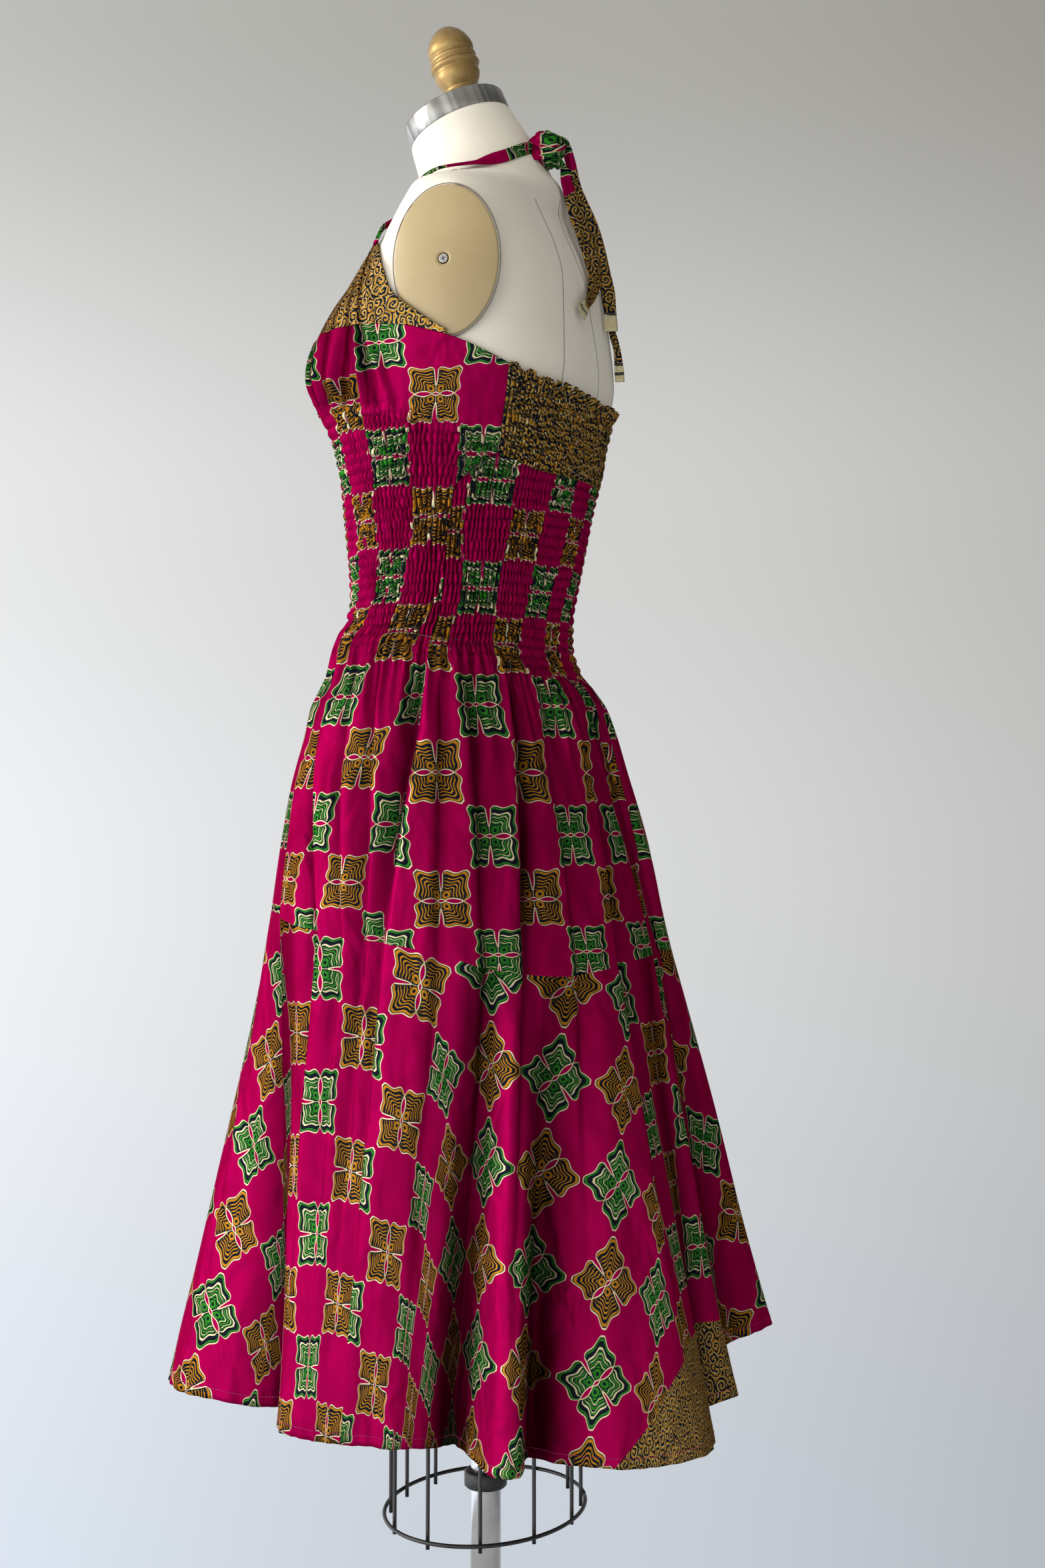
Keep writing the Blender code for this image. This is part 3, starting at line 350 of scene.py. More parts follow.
THIN_TAIL = (
    (-0.0140, 0.0655, 1.4850, -0.95, 0.20, 0.0060),
    (-0.0360, 0.0670, 1.4680, -0.90, 0.30, 0.0065),
    (-0.0500, 0.0720, 1.4440, -0.90, 0.43, 0.0065),
    (-0.0580, 0.0790, 1.4200, -0.90, 0.43, 0.0065),
    (-0.0600, 0.0870, 1.3950, -0.80, 0.60, 0.0065),
    (-0.0600, 0.0930, 1.3690, -0.70, 0.70, 0.0065),
    (-0.0560, 0.0990, 1.3480, -0.60, 0.80, 0.0070),
    (-0.0540, 0.1020, 1.3216, -0.60, 0.80, 0.0085),
)

# Path of the left strap: degrees, height, distance off the form
STRAP = (
    (69, 1.4050, 0.0042), (68, 1.4130, 0.0040), (65, 1.4210, 0.0036), (60, 1.4320, 0.0032),
    (56, 1.4440, 0.0032), (55, 1.4560, 0.0036), (61, 1.4665, 0.0044), (76, 1.4735, 0.0046),
    (98, 1.4800, 0.0046),
    (122, 1.4910, 0.0018), (144, 1.5010, -0.0042), (158, 1.5050, -0.0066),
)

# Soft window light
WINDOW_PLACE = (1.15, -2.60, 1.75)
WINDOW_AIM = (0.0, 0.0, 0.95)
WINDOW_SIZE = (1.3, 2.0)
WINDOW_POWER = 50.0
WINDOW_COLOUR = (1.0, 0.985, 0.96)

# Pale room: its directions, and its tones from the far side of each (0) to the near side (1)
WINDOW_SIDE = (0.309, -0.951, 0.0)
WALL_SIDE = (-0.951, -0.309, 0.0)
UPWARDS = (0.0, 0.0, 1.0)
ROOM_STRENGTH = 1.22
TONE_TO_WINDOW = (
    (0.0, (0.26, 0.26, 0.26)), (0.33, (0.40, 0.40, 0.395)), (0.50, (0.56, 0.565, 0.57)),
    (0.67, (0.74, 0.755, 0.78)), (0.85, (1.35, 1.36, 1.37)), (1.0, (1.75, 1.76, 1.78)),
)
TONE_TO_WALL = (
    (0.0, (1.90, 1.86, 1.78)), (0.30, (1.45, 1.43, 1.39)), (0.60, (1.0, 1.0, 1.0)),
    (0.95, (1.02, 1.02, 1.02)),
)
TONE_UPWARDS = (
    (0.0, (0.66, 0.68, 0.71)), (0.32, (0.84, 0.90, 0.98)), (0.48, (1.0, 1.0, 1.0)),
    (0.56, (0.93, 0.92, 0.90)), (0.67, (0.60, 0.585, 0.54)), (1.0, (0.72, 0.72, 0.72)),
)

# Seams of the canvas: name, then degrees and height along each, on the wearer's left
CANVAS_SEAMS = (
    ("princess_back", ((131, 1.452), (142, 1.42), (144, 1.38), (143, 1.33), (143, 1.29), (143, 1.24))),
    ("princess_front", ((52, 1.452), (40, 1.42), (38, 1.38), (38, 1.33), (38, 1.29))),
    ("shoulder", ((92, 1.4600), (90, 1.4680), (88, 1.4740), (88, 1.4800))),
)

# Colours, linear
MAGENTA = (0.262, 0.0006, 0.050)
GREEN = (0.022, 0.165, 0.014)
OCHRE = (0.375, 0.160, 0.010)
BORDER_OCHRE = (0.330, 0.165, 0.018)
NAVY = (0.007, 0.010, 0.016)
CREAM = (0.56, 0.50, 0.30)
CANVAS = (0.785, 0.725, 0.62)
CANVAS_SOILED = (0.70, 0.65, 0.56)
# Painted shade: the colour that folds, creases and the shirring's valleys are darkened towards
FOLD_SHADE = (0.13, 0.09, 0.11)

# Nested lines of a green and an ochre petal, from the flower's middle outwards: share, colour
GREEN_BANDS = (
    (0.00, GREEN), (0.270, NAVY), (0.305, GREEN), (0.360, NAVY), (0.400, GREEN), (0.445, CREAM),
    (0.465, NAVY), (0.505, GREEN), (0.560, NAVY), (0.605, CREAM), (0.625, GREEN), (0.665, NAVY),
    (0.700, CREAM), (0.755, NAVY), (0.880, GREEN),
)
OCHRE_BANDS = (
    (0.00, OCHRE), (0.250, NAVY), (0.310, OCHRE), (0.350, NAVY), (0.415, OCHRE), (0.455, NAVY),
    (0.520, OCHRE), (0.560, NAVY), (0.625, OCHRE), (0.665, NAVY), (0.735, OCHRE), (0.780, NAVY),
    (0.865, OCHRE),
)

# Half-width of a flower in checks: share of the way from the middle of its side to its corner, reach
PETAL_OUTLINE = (
    (0.00, 0.380), (0.06, 0.410), (0.14, 0.478), (0.26, 0.490), (0.42, 0.462), (0.56, 0.446),
    (0.70, 0.466), (0.84, 0.500), (0.93, 0.496), (1.00, 0.468),
)


# Curves and sections
def curve(rows, x, column=1):
    """Smooth curve through a table's column, read against its first column."""
    xs = np.array([r[0] for r in rows], float)
    ys = np.array([r[column] for r in rows], float)
    slopes = np.gradient(ys, xs)
    x = np.clip(np.asarray(x, float), xs[0], xs[-1])
    i = np.clip(np.searchsorted(xs, x) - 1, 0, len(xs) - 2)
    h = xs[i + 1] - xs[i]
    t = (x - xs[i]) / h
    step = ys[i + 1] - ys[i]
    a = slopes[i] * h - step
    b = step - slopes[i + 1] * h
    return ys[i] + step * t + 0.6 * t * (1 - t) * (a * (1 - t) + b * t)


def smooth(x, low, high):
    """Smooth step from 0 to 1 between two values."""
    t = np.clip((x - low) / (high - low), 0.0, 1.0)
    return t * t * (3 - 2 * t)


def bell(x, width, power=2):
    """Rounded hump of height 1 about zero."""
    return np.exp(-(np.abs(x / width) ** power))


def wander(x, y, seed=0.0):
    """Slow, uneven waves between about -1 and 1, the same each run."""
    a = np.sin(1.7 * x + 2.3 * np.sin(0.9 * y + seed) + seed * 1.3)
    b = np.sin(3.1 * x - 1.9 * y + 2.0 * np.sin(1.3 * x + seed * 2.1))
    c = np.sin(5.3 * x + 2.9 * y + seed * 0.7)
    return 0.5 * a + 0.32 * b + 0.18 * c


def turned(degrees):
    """Angles brought into the range from -180 to 180 degrees."""
    return (np.asarray(degrees, float) + 180.0) % 360.0 - 180.0


def unit(vectors):
    """Vectors scaled to length 1."""
    return vectors / np.linalg.norm(vectors, axis=-1)[..., None]


def lengths_along(points):
    """Length of a line up to each of its points."""
    steps = np.linalg.norm(np.diff(points, axis=0), axis=1)
    return np.concatenate([[0.0], np.cumsum(steps)])


def section(rows, z):
    """Half width, half depth, centre y and exponent at heights."""
    return [curve(rows, z, k) for k in (1, 2, 3, 4)]


def between(low_edge, top_edge, degrees, v):
    """Heights at shares v of the way from one edge of a piece to the other."""
    low = curve(low_edge, degrees)
    return low + (curve(top_edge, degrees) - low) * v


def on_section(sec, degrees, out):
    """Points x, y of rounded sections at angles, moved out along the normal."""
    a, b, yc, n = sec
    s = np.sin(np.radians(degrees))
    c = -np.cos(np.radians(degrees))
    r = (np.abs(s / a) ** n + np.abs(c / b) ** n) ** (-1.0 / n)
    x = r * s
    y = r * c
    gx = np.copysign(np.abs(x / a) ** (n - 1) / a, x)
    gy = np.copysign(np.abs(y / b) ** (n - 1) / b, y)
    g = np.hypot(gx, gy)
    return x + out * gx / g, yc + y + out * gy / g


def bust(degrees, z, down, between):
    """Height of the bust over the plain section, from 0 to 1."""
    side = np.abs(turned(degrees)) - BUST_DEGREES
    spread = np.where(side < 0, between, BUST_TO_SIDE)
    reach = np.where(z > BUST_Z, BUST_UP, down)
    return np.exp(-((side / spread) ** 2) - ((z - BUST_Z) / reach) ** 2)


def form_point(degrees, z, out=0.0):
    """Points on the torso below its neck, as an array of x, y, z."""
    degrees, z, out = np.broadcast_arrays(np.asarray(degrees, float), np.asarray(z, float), out)
    lift = 0.021 * bust(degrees, z, 0.036, 20.0)
    x, y = on_section(section(TORSO, z), degrees, lift + out)
    limit = TORSO_SIDE_X + out
    return np.stack([np.clip(x, -limit, limit), y, z], -1)


def cloth_point(degrees, z, out=0.0):
    """Points on the inner face of the dress, moved out, as an array of x, y, z."""
    degrees, z, out = np.broadcast_arrays(np.asarray(degrees, float), np.asarray(z, float), out)
    skirt_x, skirt_y = on_section(section(SKIRT, z), degrees, out)
    a, b, yc, n = section(TORSO, z)
    on_torso = (a + CLOTH_OFF_FORM, b + CLOTH_OFF_FORM, yc, n)
    on_skirt = section(SKIRT, np.minimum(z, TORSO_FROM))
    share = smooth(z, TORSO_FROM, SKIRT_UP_TO)
    sec = [p + (q - p) * share for p, q in zip(on_torso, on_skirt)]

    # The bust, the elastic under it, and the way over the arm plate's lower edge
    lift = 0.022 * bust(degrees, z, 0.042, 48.0) + 0.0012 * bell(z - 1.243, 0.016)
    x, y = on_section(sec, degrees, 0.0)
    over = 0.0044 * bell(y - 0.016, 0.046) * bell(z - 1.346, 0.022)
    over = np.where(np.abs(x) > 0.1, over, 0.0)
    x, y = on_section(sec, degrees, lift + over + out)
    limit = TORSO_SIDE_X + CLOTH_OFF_FORM + over + out
    x = np.clip(x, -limit, limit)
    below = z < SKIRT_UP_TO
    return np.stack([np.where(below, skirt_x, x), np.where(below, skirt_y, y), z], -1)


# Meshes
def new_object(name, me, material):
    """Object of a mesh that rides on the part's one body."""
    ob = bpy.data.objects.new(name, me)
    bpy.context.scene.collection.objects.link(ob)
    me.materials.append(material)
    for face in me.polygons:
        face.use_smooth = True
    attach(ob, "root")
    return ob


def stands_for(ob, slot, *nodes):
    """Hides the CAD nodes that an object replaces, if any; its material slot is not used."""
    if nodes:
        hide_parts(*nodes)


def grid(cols, rows, left=0.0):
    """Shares of the way across, from left to 1, and up, from 0 to 1, for each point of a grid."""
    return np.meshgrid(np.linspace(left, 1.0, cols), np.linspace(0.0, 1.0, rows))


def grid_object(name, points, cloth, material, closed=False, shade_share=0.0):
    """Object of a grid of points, with its flat-cloth coordinates in metres and its share of painted shade.

    Rows go up and columns round the wearer. A closed grid joins its last column to its first and has
    its two ends capped.
    """
    rows, cols = points.shape[:2]
    i, j = np.meshgrid(np.arange(rows - 1), np.arange(cols if closed else cols - 1), indexing="ij")
    k = (j + 1) % cols
    corners = np.stack([i * cols + j, i * cols + k, (i + 1) * cols + k, (i + 1) * cols + j], -1)
    faces = corners.reshape(-1, 4).tolist()
    if closed:
        faces.append(range(cols - 1, -1, -1))
        faces.append(range((rows - 1) * cols, rows * cols))
    me = bpy.data.meshes.new(name)
    me.from_pydata(points.reshape(-1, 3).tolist(), [], [tuple(f) for f in faces])
    if cloth is not None:
        painted_shade = np.broadcast_to(shade_share, (rows, cols))
        index = np.zeros(len(me.loops), np.int32)
        me.loops.foreach_get("vertex_index", index)
        # The "fold" map holds the share of painted shade, which the cotton darkens towards FOLD_SHADE
        for word, values in (("cloth", cloth), ("fold", np.stack([painted_shade, painted_shade], -1))):
            layer = me.uv_layers.new(name=word)
            layer.data.foreach_set("uv", values.reshape(-1, 2)[index].astype(np.float32).ravel())
    return new_object(name, me, material)


def tube(name, points, radius, material, sides=8):
    """Round tube along points, with closed ends."""
    points = np.asarray(points, float)
    along = unit(np.gradient(points, axis=0))
    up = np.array([0.0, 0.0, 1.0]) if abs(along[0, 2]) < 0.9 else np.array([1.0, 0.0, 0.0])
    angle = np.arange(sides) * math.tau / sides
    rings = []
    for p, t in zip(points, along):
        side = unit(np.cross(t, up))
        up = np.cross(side, t)
        rings.append(p + radius * (np.cos(angle)[:, None] * side + np.sin(angle)[:, None] * up))
    return grid_object(name, np.array(rings), None, material, closed=True)


def lathe(name, profile, segments, material):
    """Body turned from a profile of radius and height, top to bottom."""
    me = bpy.data.meshes.new(name)
    edges = [(i, i + 1) for i in range(len(profile) - 1)]
    me.from_pydata([(r, 0.0, h) for r, h in profile], edges, [])
    ob = bpy.data.objects.new(name, me)
    bpy.context.scene.collection.objects.link(ob)
    me.materials.append(material)
    turn = ob.modifiers.new("turn", "SCREW")
    turn.steps = segments
    turn.render_steps = segments
    turn.use_merge_vertices = True
    turn.merge_threshold = 0.00002
    turn.use_smooth_shade = True
    return ob


def turned_piece(name, profile, segments, material, slot, node, place=(0.0, 0.0, 0.0), lean=0.0):
    """Turned piece in a node's place, leaning forward by degrees."""
    ob = lathe(name, profile, segments, material)
    ob.location = place
    ob.rotation_euler = (math.radians(lean), 0.0, 0.0)
    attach(ob, "root")
    stands_for(ob, slot, node)
    return ob


# Shader helpers
class Output:
    """What a node gives. Arithmetic and comparisons on it add Math nodes."""

    def __init__(self, nodes, socket):
        self.nodes = nodes
        self.socket = socket

    def __add__(self, other):
        return self.nodes.math("ADD", self, other)

    def __radd__(self, other):
        return self.nodes.math("ADD", other, self)

    def __sub__(self, other):
        return self.nodes.math("SUBTRACT", self, other)

    def __rsub__(self, other):
        return self.nodes.math("SUBTRACT", other, self)

    def __mul__(self, other):
        return self.nodes.math("MULTIPLY", self, other)

    def __truediv__(self, other):
        return self.nodes.math("DIVIDE", self, other)

    def __mod__(self, other):
        return self.nodes.math("FLOORED_MODULO", self, other)

    def __gt__(self, other):
        return self.nodes.math("GREATER_THAN", self, other)

    def __lt__(self, other):
        return self.nodes.math("LESS_THAN", self, other)

    def __abs__(self):
        return self.nodes.math("ABSOLUTE", self)

    def __round__(self):
        return self.nodes.math("ROUND", self)


class Nodes:
    """Short names for the nodes that the materials are made of."""

    def __init__(self, tree):
        self.tree = tree

    def put(self, socket, value):
        """Links a node's output to a socket, or sets the socket's own number or colour."""
        if isinstance(value, Output):
            self.tree.links.new(value.socket, socket)
        elif value is not None:
            socket.default_value = (*value, 1.0) if socket.type == "RGBA" else value

    def node(self, kind, inputs, **settings):
        """New node of a kind with its settings and inputs."""
        node = self.tree.nodes.new("ShaderNode" + kind)
        for name, value in settings.items():
            setattr(node, name, value)
        for name, value in inputs.items():
            self.put(node.inputs[name], value)
        return node

    def output(self, node, name=0):
        return Output(self, node.outputs[name])

    def math(self, operation, *values):
        return self.output(self.node("Math", dict(enumerate(values)), operation=operation))

    def vector(self, operation, *values, gives="Vector"):
        return self.output(self.node("VectorMath", dict(enumerate(values)), operation=operation), gives)

    def mix(self, share, a, b, blend="MIX"):
        node = self.node("Mix", {0: share, 6: a, 7: b}, data_type="RGBA", blend_type=blend)
        return self.output(node, 2)

    def noise(self, vector, scale, detail=2.0, rough=0.5, distort=0.0, gives="Fac"):
        values = {
            "Vector": vector, "Scale": scale, "Detail": detail, "Roughness": rough, "Distortion": distort,
        }
        return self.output(self.node("TexNoise", values), gives)

    def ramp(self, value, stops, interpolation="LINEAR"):
        node = self.node("ValToRGB", {0: value})
        node.color_ramp.interpolation = interpolation
        marks = node.color_ramp.elements
        for mark, (at, colour) in zip(marks, stops):
            mark.position = at
            mark.color = (*colour, 1.0)
        for at, colour in stops[2:]:
            marks.new(at).color = (*colour, 1.0)
        return self.output(node)

    def split(self, vector):
        node = self.node("SeparateXYZ", {0: vector})
        return [Output(self, socket) for socket in node.outputs]

    def bump(self, height, distance, strength, normal=None):
        values = {"Height": height, "Distance": distance, "Strength": strength, "Normal": normal}
        return self.output(self.node("Bump", values))

    def cloth_map(self, name):
        return self.output(self.node("UVMap", {}, uv_map=name))

    def coordinates(self, name):
        return self.output(self.node("TexCoord", {}), name)


class Surface(Nodes):
    """Material with a Principled shader."""

    def __init__(self, name, rough, metallic=0.0, specular=0.5, colour=(0.5, 0.5, 0.5)):
        self.material = bpy.data.materials.new(name)
        self.material.use_nodes = True
        super().__init__(self.material.node_tree)
        self.shader = self.tree.nodes["Principled BSDF"]
        self.set("Base Color", colour)
        self.set("Roughness", rough)
        self.set("Metallic", metallic)
        self.set("Specular IOR Level", specular)

    def set(self, name, value):
        self.put(self.shader.inputs[name], value)

    def finish(self, colour, rough, normal=None):
        """The material, once its colour, roughness and relief are set."""
        self.set("Base Color", colour)
        self.set("Roughness", rough)
        self.set("Normal", normal)
        return self.material


# Prints
def flower_print(n, cloth):
    """Colour of the main print: a plain check of four-petal flowers on magenta.

    Past the first two lines, all lengths are in checks.
    """
    u, v = n.split(cloth)[:2]
    blur = (n.noise(cloth, 95.0, 0.0) - 0.5) * 0.022
    sway = (n.noise(cloth, 22.0, 0.0) - 0.5) * 0.050
    x = u / CHECK + (blur + sway)
    y = v / CHECK - blur
    rising = round((x + y) * 0.5)
    falling = round((x - y) * 0.5)
    row = rising - falling
    dx = abs(x - (rising + falling))
    dy = abs(y - row)
    near = n.math("MINIMUM", dx, dy)
    far = n.math("MAXIMUM", dx, dy)

    # Level of the nested lines: rounded squares that draw in between their corners
    lean = near / n.math("MAXIMUM", far, 0.001)
    reaches = tuple((at, (reach, reach, reach)) for at, reach in PETAL_OUTLINE)
    level = far / n.ramp(lean, reaches, "B_SPLINE")
    edge = (1.0 - level) * 0.48

    # Gaps between the petals: open slits up and down, closed eyes left and right
    slit = n.math("SQRT", n.math("MAXIMUM", dy - 0.140, 0.0) / 0.35) * 0.050 - 0.014
    t = (dx - 0.215) / 0.135
    eye = (1.0 - t * t) * 0.036
    t = dx / 0.060
    middle = (1.0 - t * t) * 0.020
    gap = n.math("MINIMUM", dx - slit, dy - n.math("MAXIMUM", eye, middle))
    inside = n.math("MINIMUM", edge, gap)

    # Nested lines, green and ochre in turn from row to row
    odd = row % 2.0 > 0.5
    petal = n.mix(odd, n.ramp(level, GREEN_BANDS, "CONSTANT"), n.ramp(level, OCHRE_BANDS, "CONSTANT"))
    plain_petal = n.mix(odd, GREEN, OCHRE)

    # Short strokes between the nested lines, near the gaps
    comb = n.math("SINE", level * 92.0) > 0.25
    near_gap = lean < 0.30 + blur * 12.0
    petal = n.mix(comb * near_gap * (level < 0.90), petal, NAVY)

    # Bud at the foot of each petal, drawn out towards its corner
    bud_x = dx - 0.092
    bud_y = dy - 0.092
    along = (bud_x + bud_y) * 0.62
    aside = (bud_x - bud_y) * 0.78
    bud = n.math("SQRT", along * along + aside * aside)
    petal = n.mix(bud < 0.076, petal, NAVY)
    petal = n.mix(bud < 0.064, petal, plain_petal)
    petal = n.mix(bud < 0.028, petal, NAVY)

    # Dark join between neighbouring petals, cream rim and dark outline
    petal = n.mix(near < 0.007, petal, NAVY)
    colour = n.mix(inside > 0.0, MAGENTA, CREAM)
    colour = n.mix(inside > 0.018, colour, NAVY)
    return n.mix(inside > 0.032, colour, petal)


def border_print(n, cloth):
    """Colour of the cloth's border: fine curls outlined in black on ochre."""
    bend = n.noise(cloth, 260.0, 0.0, gives="Color")
    bent = n.vector("MULTIPLY_ADD", bend, (0.0030, 0.0030, 0.0), cloth)
    values = {"Vector": bent, "Scale": 105.0, "Randomness": 0.85}
    cells = n.node("TexVoronoi", values, voronoi_dimensions="2D")
    x, y = n.split(n.vector("SUBTRACT", bent, n.output(cells, "Position")))[:2]
    chance, second = n.split(n.output(cells, "Color"))[:2]
    hand = n.math("SIGN", second - 0.5)
    angle = n.math("ARCTAN2", y, x) * (1.0 / math.tau)
    turns = n.output(cells, "Distance") * 2.9
    spiral = (turns + (angle * hand + chance)) % 1.0
    return n.ramp(spiral, ((0.0, NAVY), (0.38, CREAM), (0.46, BORDER_OCHRE), (0.86, NAVY)), "CONSTANT")


def hem_print(n, cloth):
    """Colour of the back's lower skirt, where the border takes over from the flowers."""
    v = n.split(cloth)[1]
    return n.mix(v < -BORDER_FROM, flower_print(n, cloth), border_print(n, cloth))


def cream_print(n, cloth):
    """Colour of the unprinted selvedge at the tips of the ties."""
    return CREAM


# Materials
def cotton(name, print_of):
    """Printed plain-weave cotton."""
    n = Surface(name, 0.46, 0.50, 0.0)
    n.set("Specular Tint", (0.30, 0.12, 0.18))
    cloth = n.cloth_map("cloth")
    worn = n.ramp(n.noise(cloth, 38.0, 5.0, 0.6), ((0.25, (0.82, 0.82, 0.82)), (0.75, (1.10, 1.10, 1.10))))
    colour = n.mix(0.55, print_of(n, cloth), worn, "MULTIPLY")
    # Painted shade in the folds, creases and between the shirring's puffs, by the share in the "fold" map
    colour = n.mix(n.split(n.cloth_map("fold"))[0], colour, FOLD_SHADE, "MULTIPLY")
    rough = n.noise(cloth, 60.0, 3.0) * 0.20 + 0.34
    drawn_out = n.vector("MULTIPLY", n.coordinates("Object"), (1.0, 1.0, 0.55))
    crushed = n.bump(n.noise(drawn_out, 26.0, 2.0, 0.50, 0.5), 0.0120, 0.85)
    u, v = n.split(cloth)[:2]
    weave = n.math("SINE", u * (math.tau / THREAD)) * n.math("SINE", v * (math.tau / THREAD))
    return n.finish(colour, rough, n.bump(weave, 0.00005, 0.5, crushed))


def canvas():
    """Off-white canvas of the form, slightly soiled."""
    n = Surface("form_canvas", 0.85, 0.0, 0.25)
    n.set("Sheen Weight", 0.15)
    at = n.coordinates("Object")
    colour = n.ramp(n.noise(at, 9.0, 5.0, 0.65), ((0.30, CANVAS_SOILED), (0.62, CANVAS)))
    x, y, z = n.split(at)
    thread = math.tau / CANVAS_THREAD
    weave = n.math("SINE", (x + y) * thread) * n.math("SINE", z * thread)
    uneven = n.bump(n.noise(at, 30.0, 4.0), 0.0010, 0.4)
    return n.finish(colour, 0.85, n.bump(weave, 0.00008, 0.5, uneven))


def brushed_steel():
    """Steel band brushed round its edge."""
    n = Surface("brushed_steel", 0.40, 1.0, 0.5, (0.30, 0.295, 0.28))
    x, y, z = n.split(n.coordinates("Object"))
    up = n.output(n.node("CombineXYZ", {2: z * 60.0}))
    lines = n.noise(up, 60.0, 4.0, 0.7)
    around = n.math("ARCTAN2", x, NECK_TOP[0] - y)
    streaks = n.noise(n.output(n.node("CombineXYZ", {0: around * 2.2})), 2.4, 2.0, 0.6)
    colour = n.ramp(streaks, ((0.34, (0.17, 0.167, 0.158)), (0.66, (0.40, 0.392, 0.375))), "EASE")
    return n.finish(colour, lines * 0.22 + 0.16, n.bump(lines, 0.00006, 0.6))


def satin_gold():
    """Satin gold of the finial."""
    n = Surface("satin_gold", 0.36, 0.75, 0.5, (0.47, 0.30, 0.11))
    at = n.coordinates("Object")
    worn = n.noise(at, 55.0, 5.0, 0.7)
    colour = n.ramp(worn, ((0.30, (0.25, 0.150, 0.050)), (0.70, (0.38, 0.250, 0.095))))
    return n.finish(colour, worn * 0.2 + 0.27, n.bump(n.noise(at, 160.0, 3.0), 0.0002, 0.4))


def beige_plate():
    """Semi-gloss beige of the arm plates, with painted light up and ahead and painted shade down and back,
    and faint scuffs.
    """
    n = Surface("beige_plate", 0.32, 0.0, 0.5, (0.36, 0.27, 0.13))
    at = n.coordinates("Object")
    tone = n.noise(at, 14.0, 4.0, 0.6)
    colour = n.ramp(tone, ((0.30, (0.37, 0.275, 0.125)), (0.70, (0.46, 0.355, 0.185))))
    x, y, z = n.split(at)
    up = (z - ARM_PLATE_Z) / ARM_PLATE_HALF_HEIGHT
    ahead = (ARM_PLATE_Y - y) / ARM_PLATE_HALF_DEPTH
    lit = n.math("MULTIPLY_ADD", up + ahead, 0.25, 0.5)
    # Painted light and shade: towards the darker brown down and back, the plain colour up and ahead
    colour = n.mix(lit, n.mix(0.65, colour, (0.17, 0.115, 0.045)), colour)
    return n.finish(colour, tone * 0.18 + 0.22, n.bump(n.noise(at, 90.0, 4.0), 0.0003, 0.35))


def plain(name, colour, rough, metallic=0.0, grain=120.0, depth=0.0002):
    """Plain hard surface with a fine uneven finish."""
    n = Surface(name, rough, metallic, 0.5, colour)
    tone = n.noise(n.coordinates("Object"), grain, 4.0, 0.6)
    darker = tuple(0.8 * c for c in colour)
    mottled = n.ramp(tone, ((0.3, darker), (0.7, colour)))
    return n.finish(mottled, tone * 0.15 + (rough - 0.07), n.bump(tone, depth, 0.4))


FLOWERS = cotton("printed_cotton", flower_print)
BORDER = cotton("border_cotton", border_print)
HEM_CLOTH = cotton("hem_cotton", hem_print)
TIP = cotton("cream_selvedge", cream_print)
CANVAS_CLOTH = canvas()
STEEL = brushed_steel()
GOLD = satin_gold()
PLATE = beige_plate()
SCREW_STEEL = plain("screw_steel", (0.30, 0.30, 0.29), 0.34, 1.0)
CHROME = plain("pole_chrome", (0.62, 0.62, 0.63), 0.12, 1.0, 40.0, 0.00002)
BLACK_WIRE = plain("black_wire", (0.012, 0.012, 0.013), 0.42)
BLACK_PLASTIC = plain("black_plastic", (0.014, 0.014, 0.015), 0.48)
BASE_IRON = plain("base_iron", (0.022, 0.022, 0.024), 0.50, 0.0, 200.0, 0.0005)
# Dark line of the canvas seams and the armhole: seam thread and painted shadow
SEAM_THREAD_AND_SHADOW = plain("seam_shadow", (0.20, 0.175, 0.14), 0.9)
MAGENTA_THREAD = plain("magenta_thread", (0.30, 0.0, 0.09), 0.7)


# Form
def build_torso():
    """Canvas torso and neck in one skin."""
    degrees = np.arange(144) * 360.0 / 144
    stretches = ((TORSO_BOTTOM, 1.20, 34), (1.20, 1.44, 60), (1.44, NECK[0][2], 26))
    heights = [z for low, high, count in stretches for z in np.linspace(low, high, count)[:-1]]
    rings = [form_point(degrees, z) for z in heights + [NECK[0][2]]]
    t = np.radians(degrees)
    for k in np.linspace(0.0, 2.0, 14)[1:]:
        yc, zc, a, b, lean = (curve(NECK, k, c) for c in (1, 2, 3, 4, 5))
        lean = np.radians(lean)
        along = -b * np.cos(t)
        rings.append(np.stack([a * np.sin(t), yc + along * np.cos(lean), zc + along * np.sin(lean)], -1))
    torso = grid_object("form_torso", np.array(rings), None, CANVAS_CLOTH, closed=True)
    stands_for(torso, "canvas", "torso")


def build_canvas_seams():
    """Sewn lines of the canvas, in pairs, and the one down the centre of the back, as dark tubes that stand
    for the seams' thread and their painted shadow.
    """
    for word, stations in CANVAS_SEAMS:
        rows = [(k, *station) for k, station in enumerate(stations)]
        order = np.linspace(0, len(stations) - 1, 40)
        for side, hand in SIDES:
            path = form_point(side * curve(rows, order, 1), curve(rows, order, 2))
            seam = tube("canvas_seam_%s_%s" % (word, hand), path, 0.00040, SEAM_THREAD_AND_SHADOW, 6)
            stands_for(seam, "canvas")
    path = form_point(180.0, np.linspace(1.288, 1.476, 40))
    stands_for(tube("canvas_seam_centre_back", path, 0.00035, SEAM_THREAD_AND_SHADOW, 6), "canvas")


def build_neck_cap():
    """Round steel cap on the neck, level with the neck's own lean."""
    y, z, lean = NECK_TOP
    place = (0.0, y - AIR * math.sin(math.radians(lean)), z + AIR * math.cos(math.radians(lean)))
    r = NECK_TOP_RADIUS
    h = CAP_HEIGHT
    profile = (
        (0.0, h), (r - 0.0026, h), (r - 0.0014, h - 0.0002), (r - 0.0004, h - 0.0008), (r, h - 0.0018),
        (r, 0.0008), (r - 0.0006, 0.0), (0.0, 0.0),
    )
    turned_piece("form_neck_cap", profile, 128, STEEL, "cap_steel", "neck_cap", place, lean)


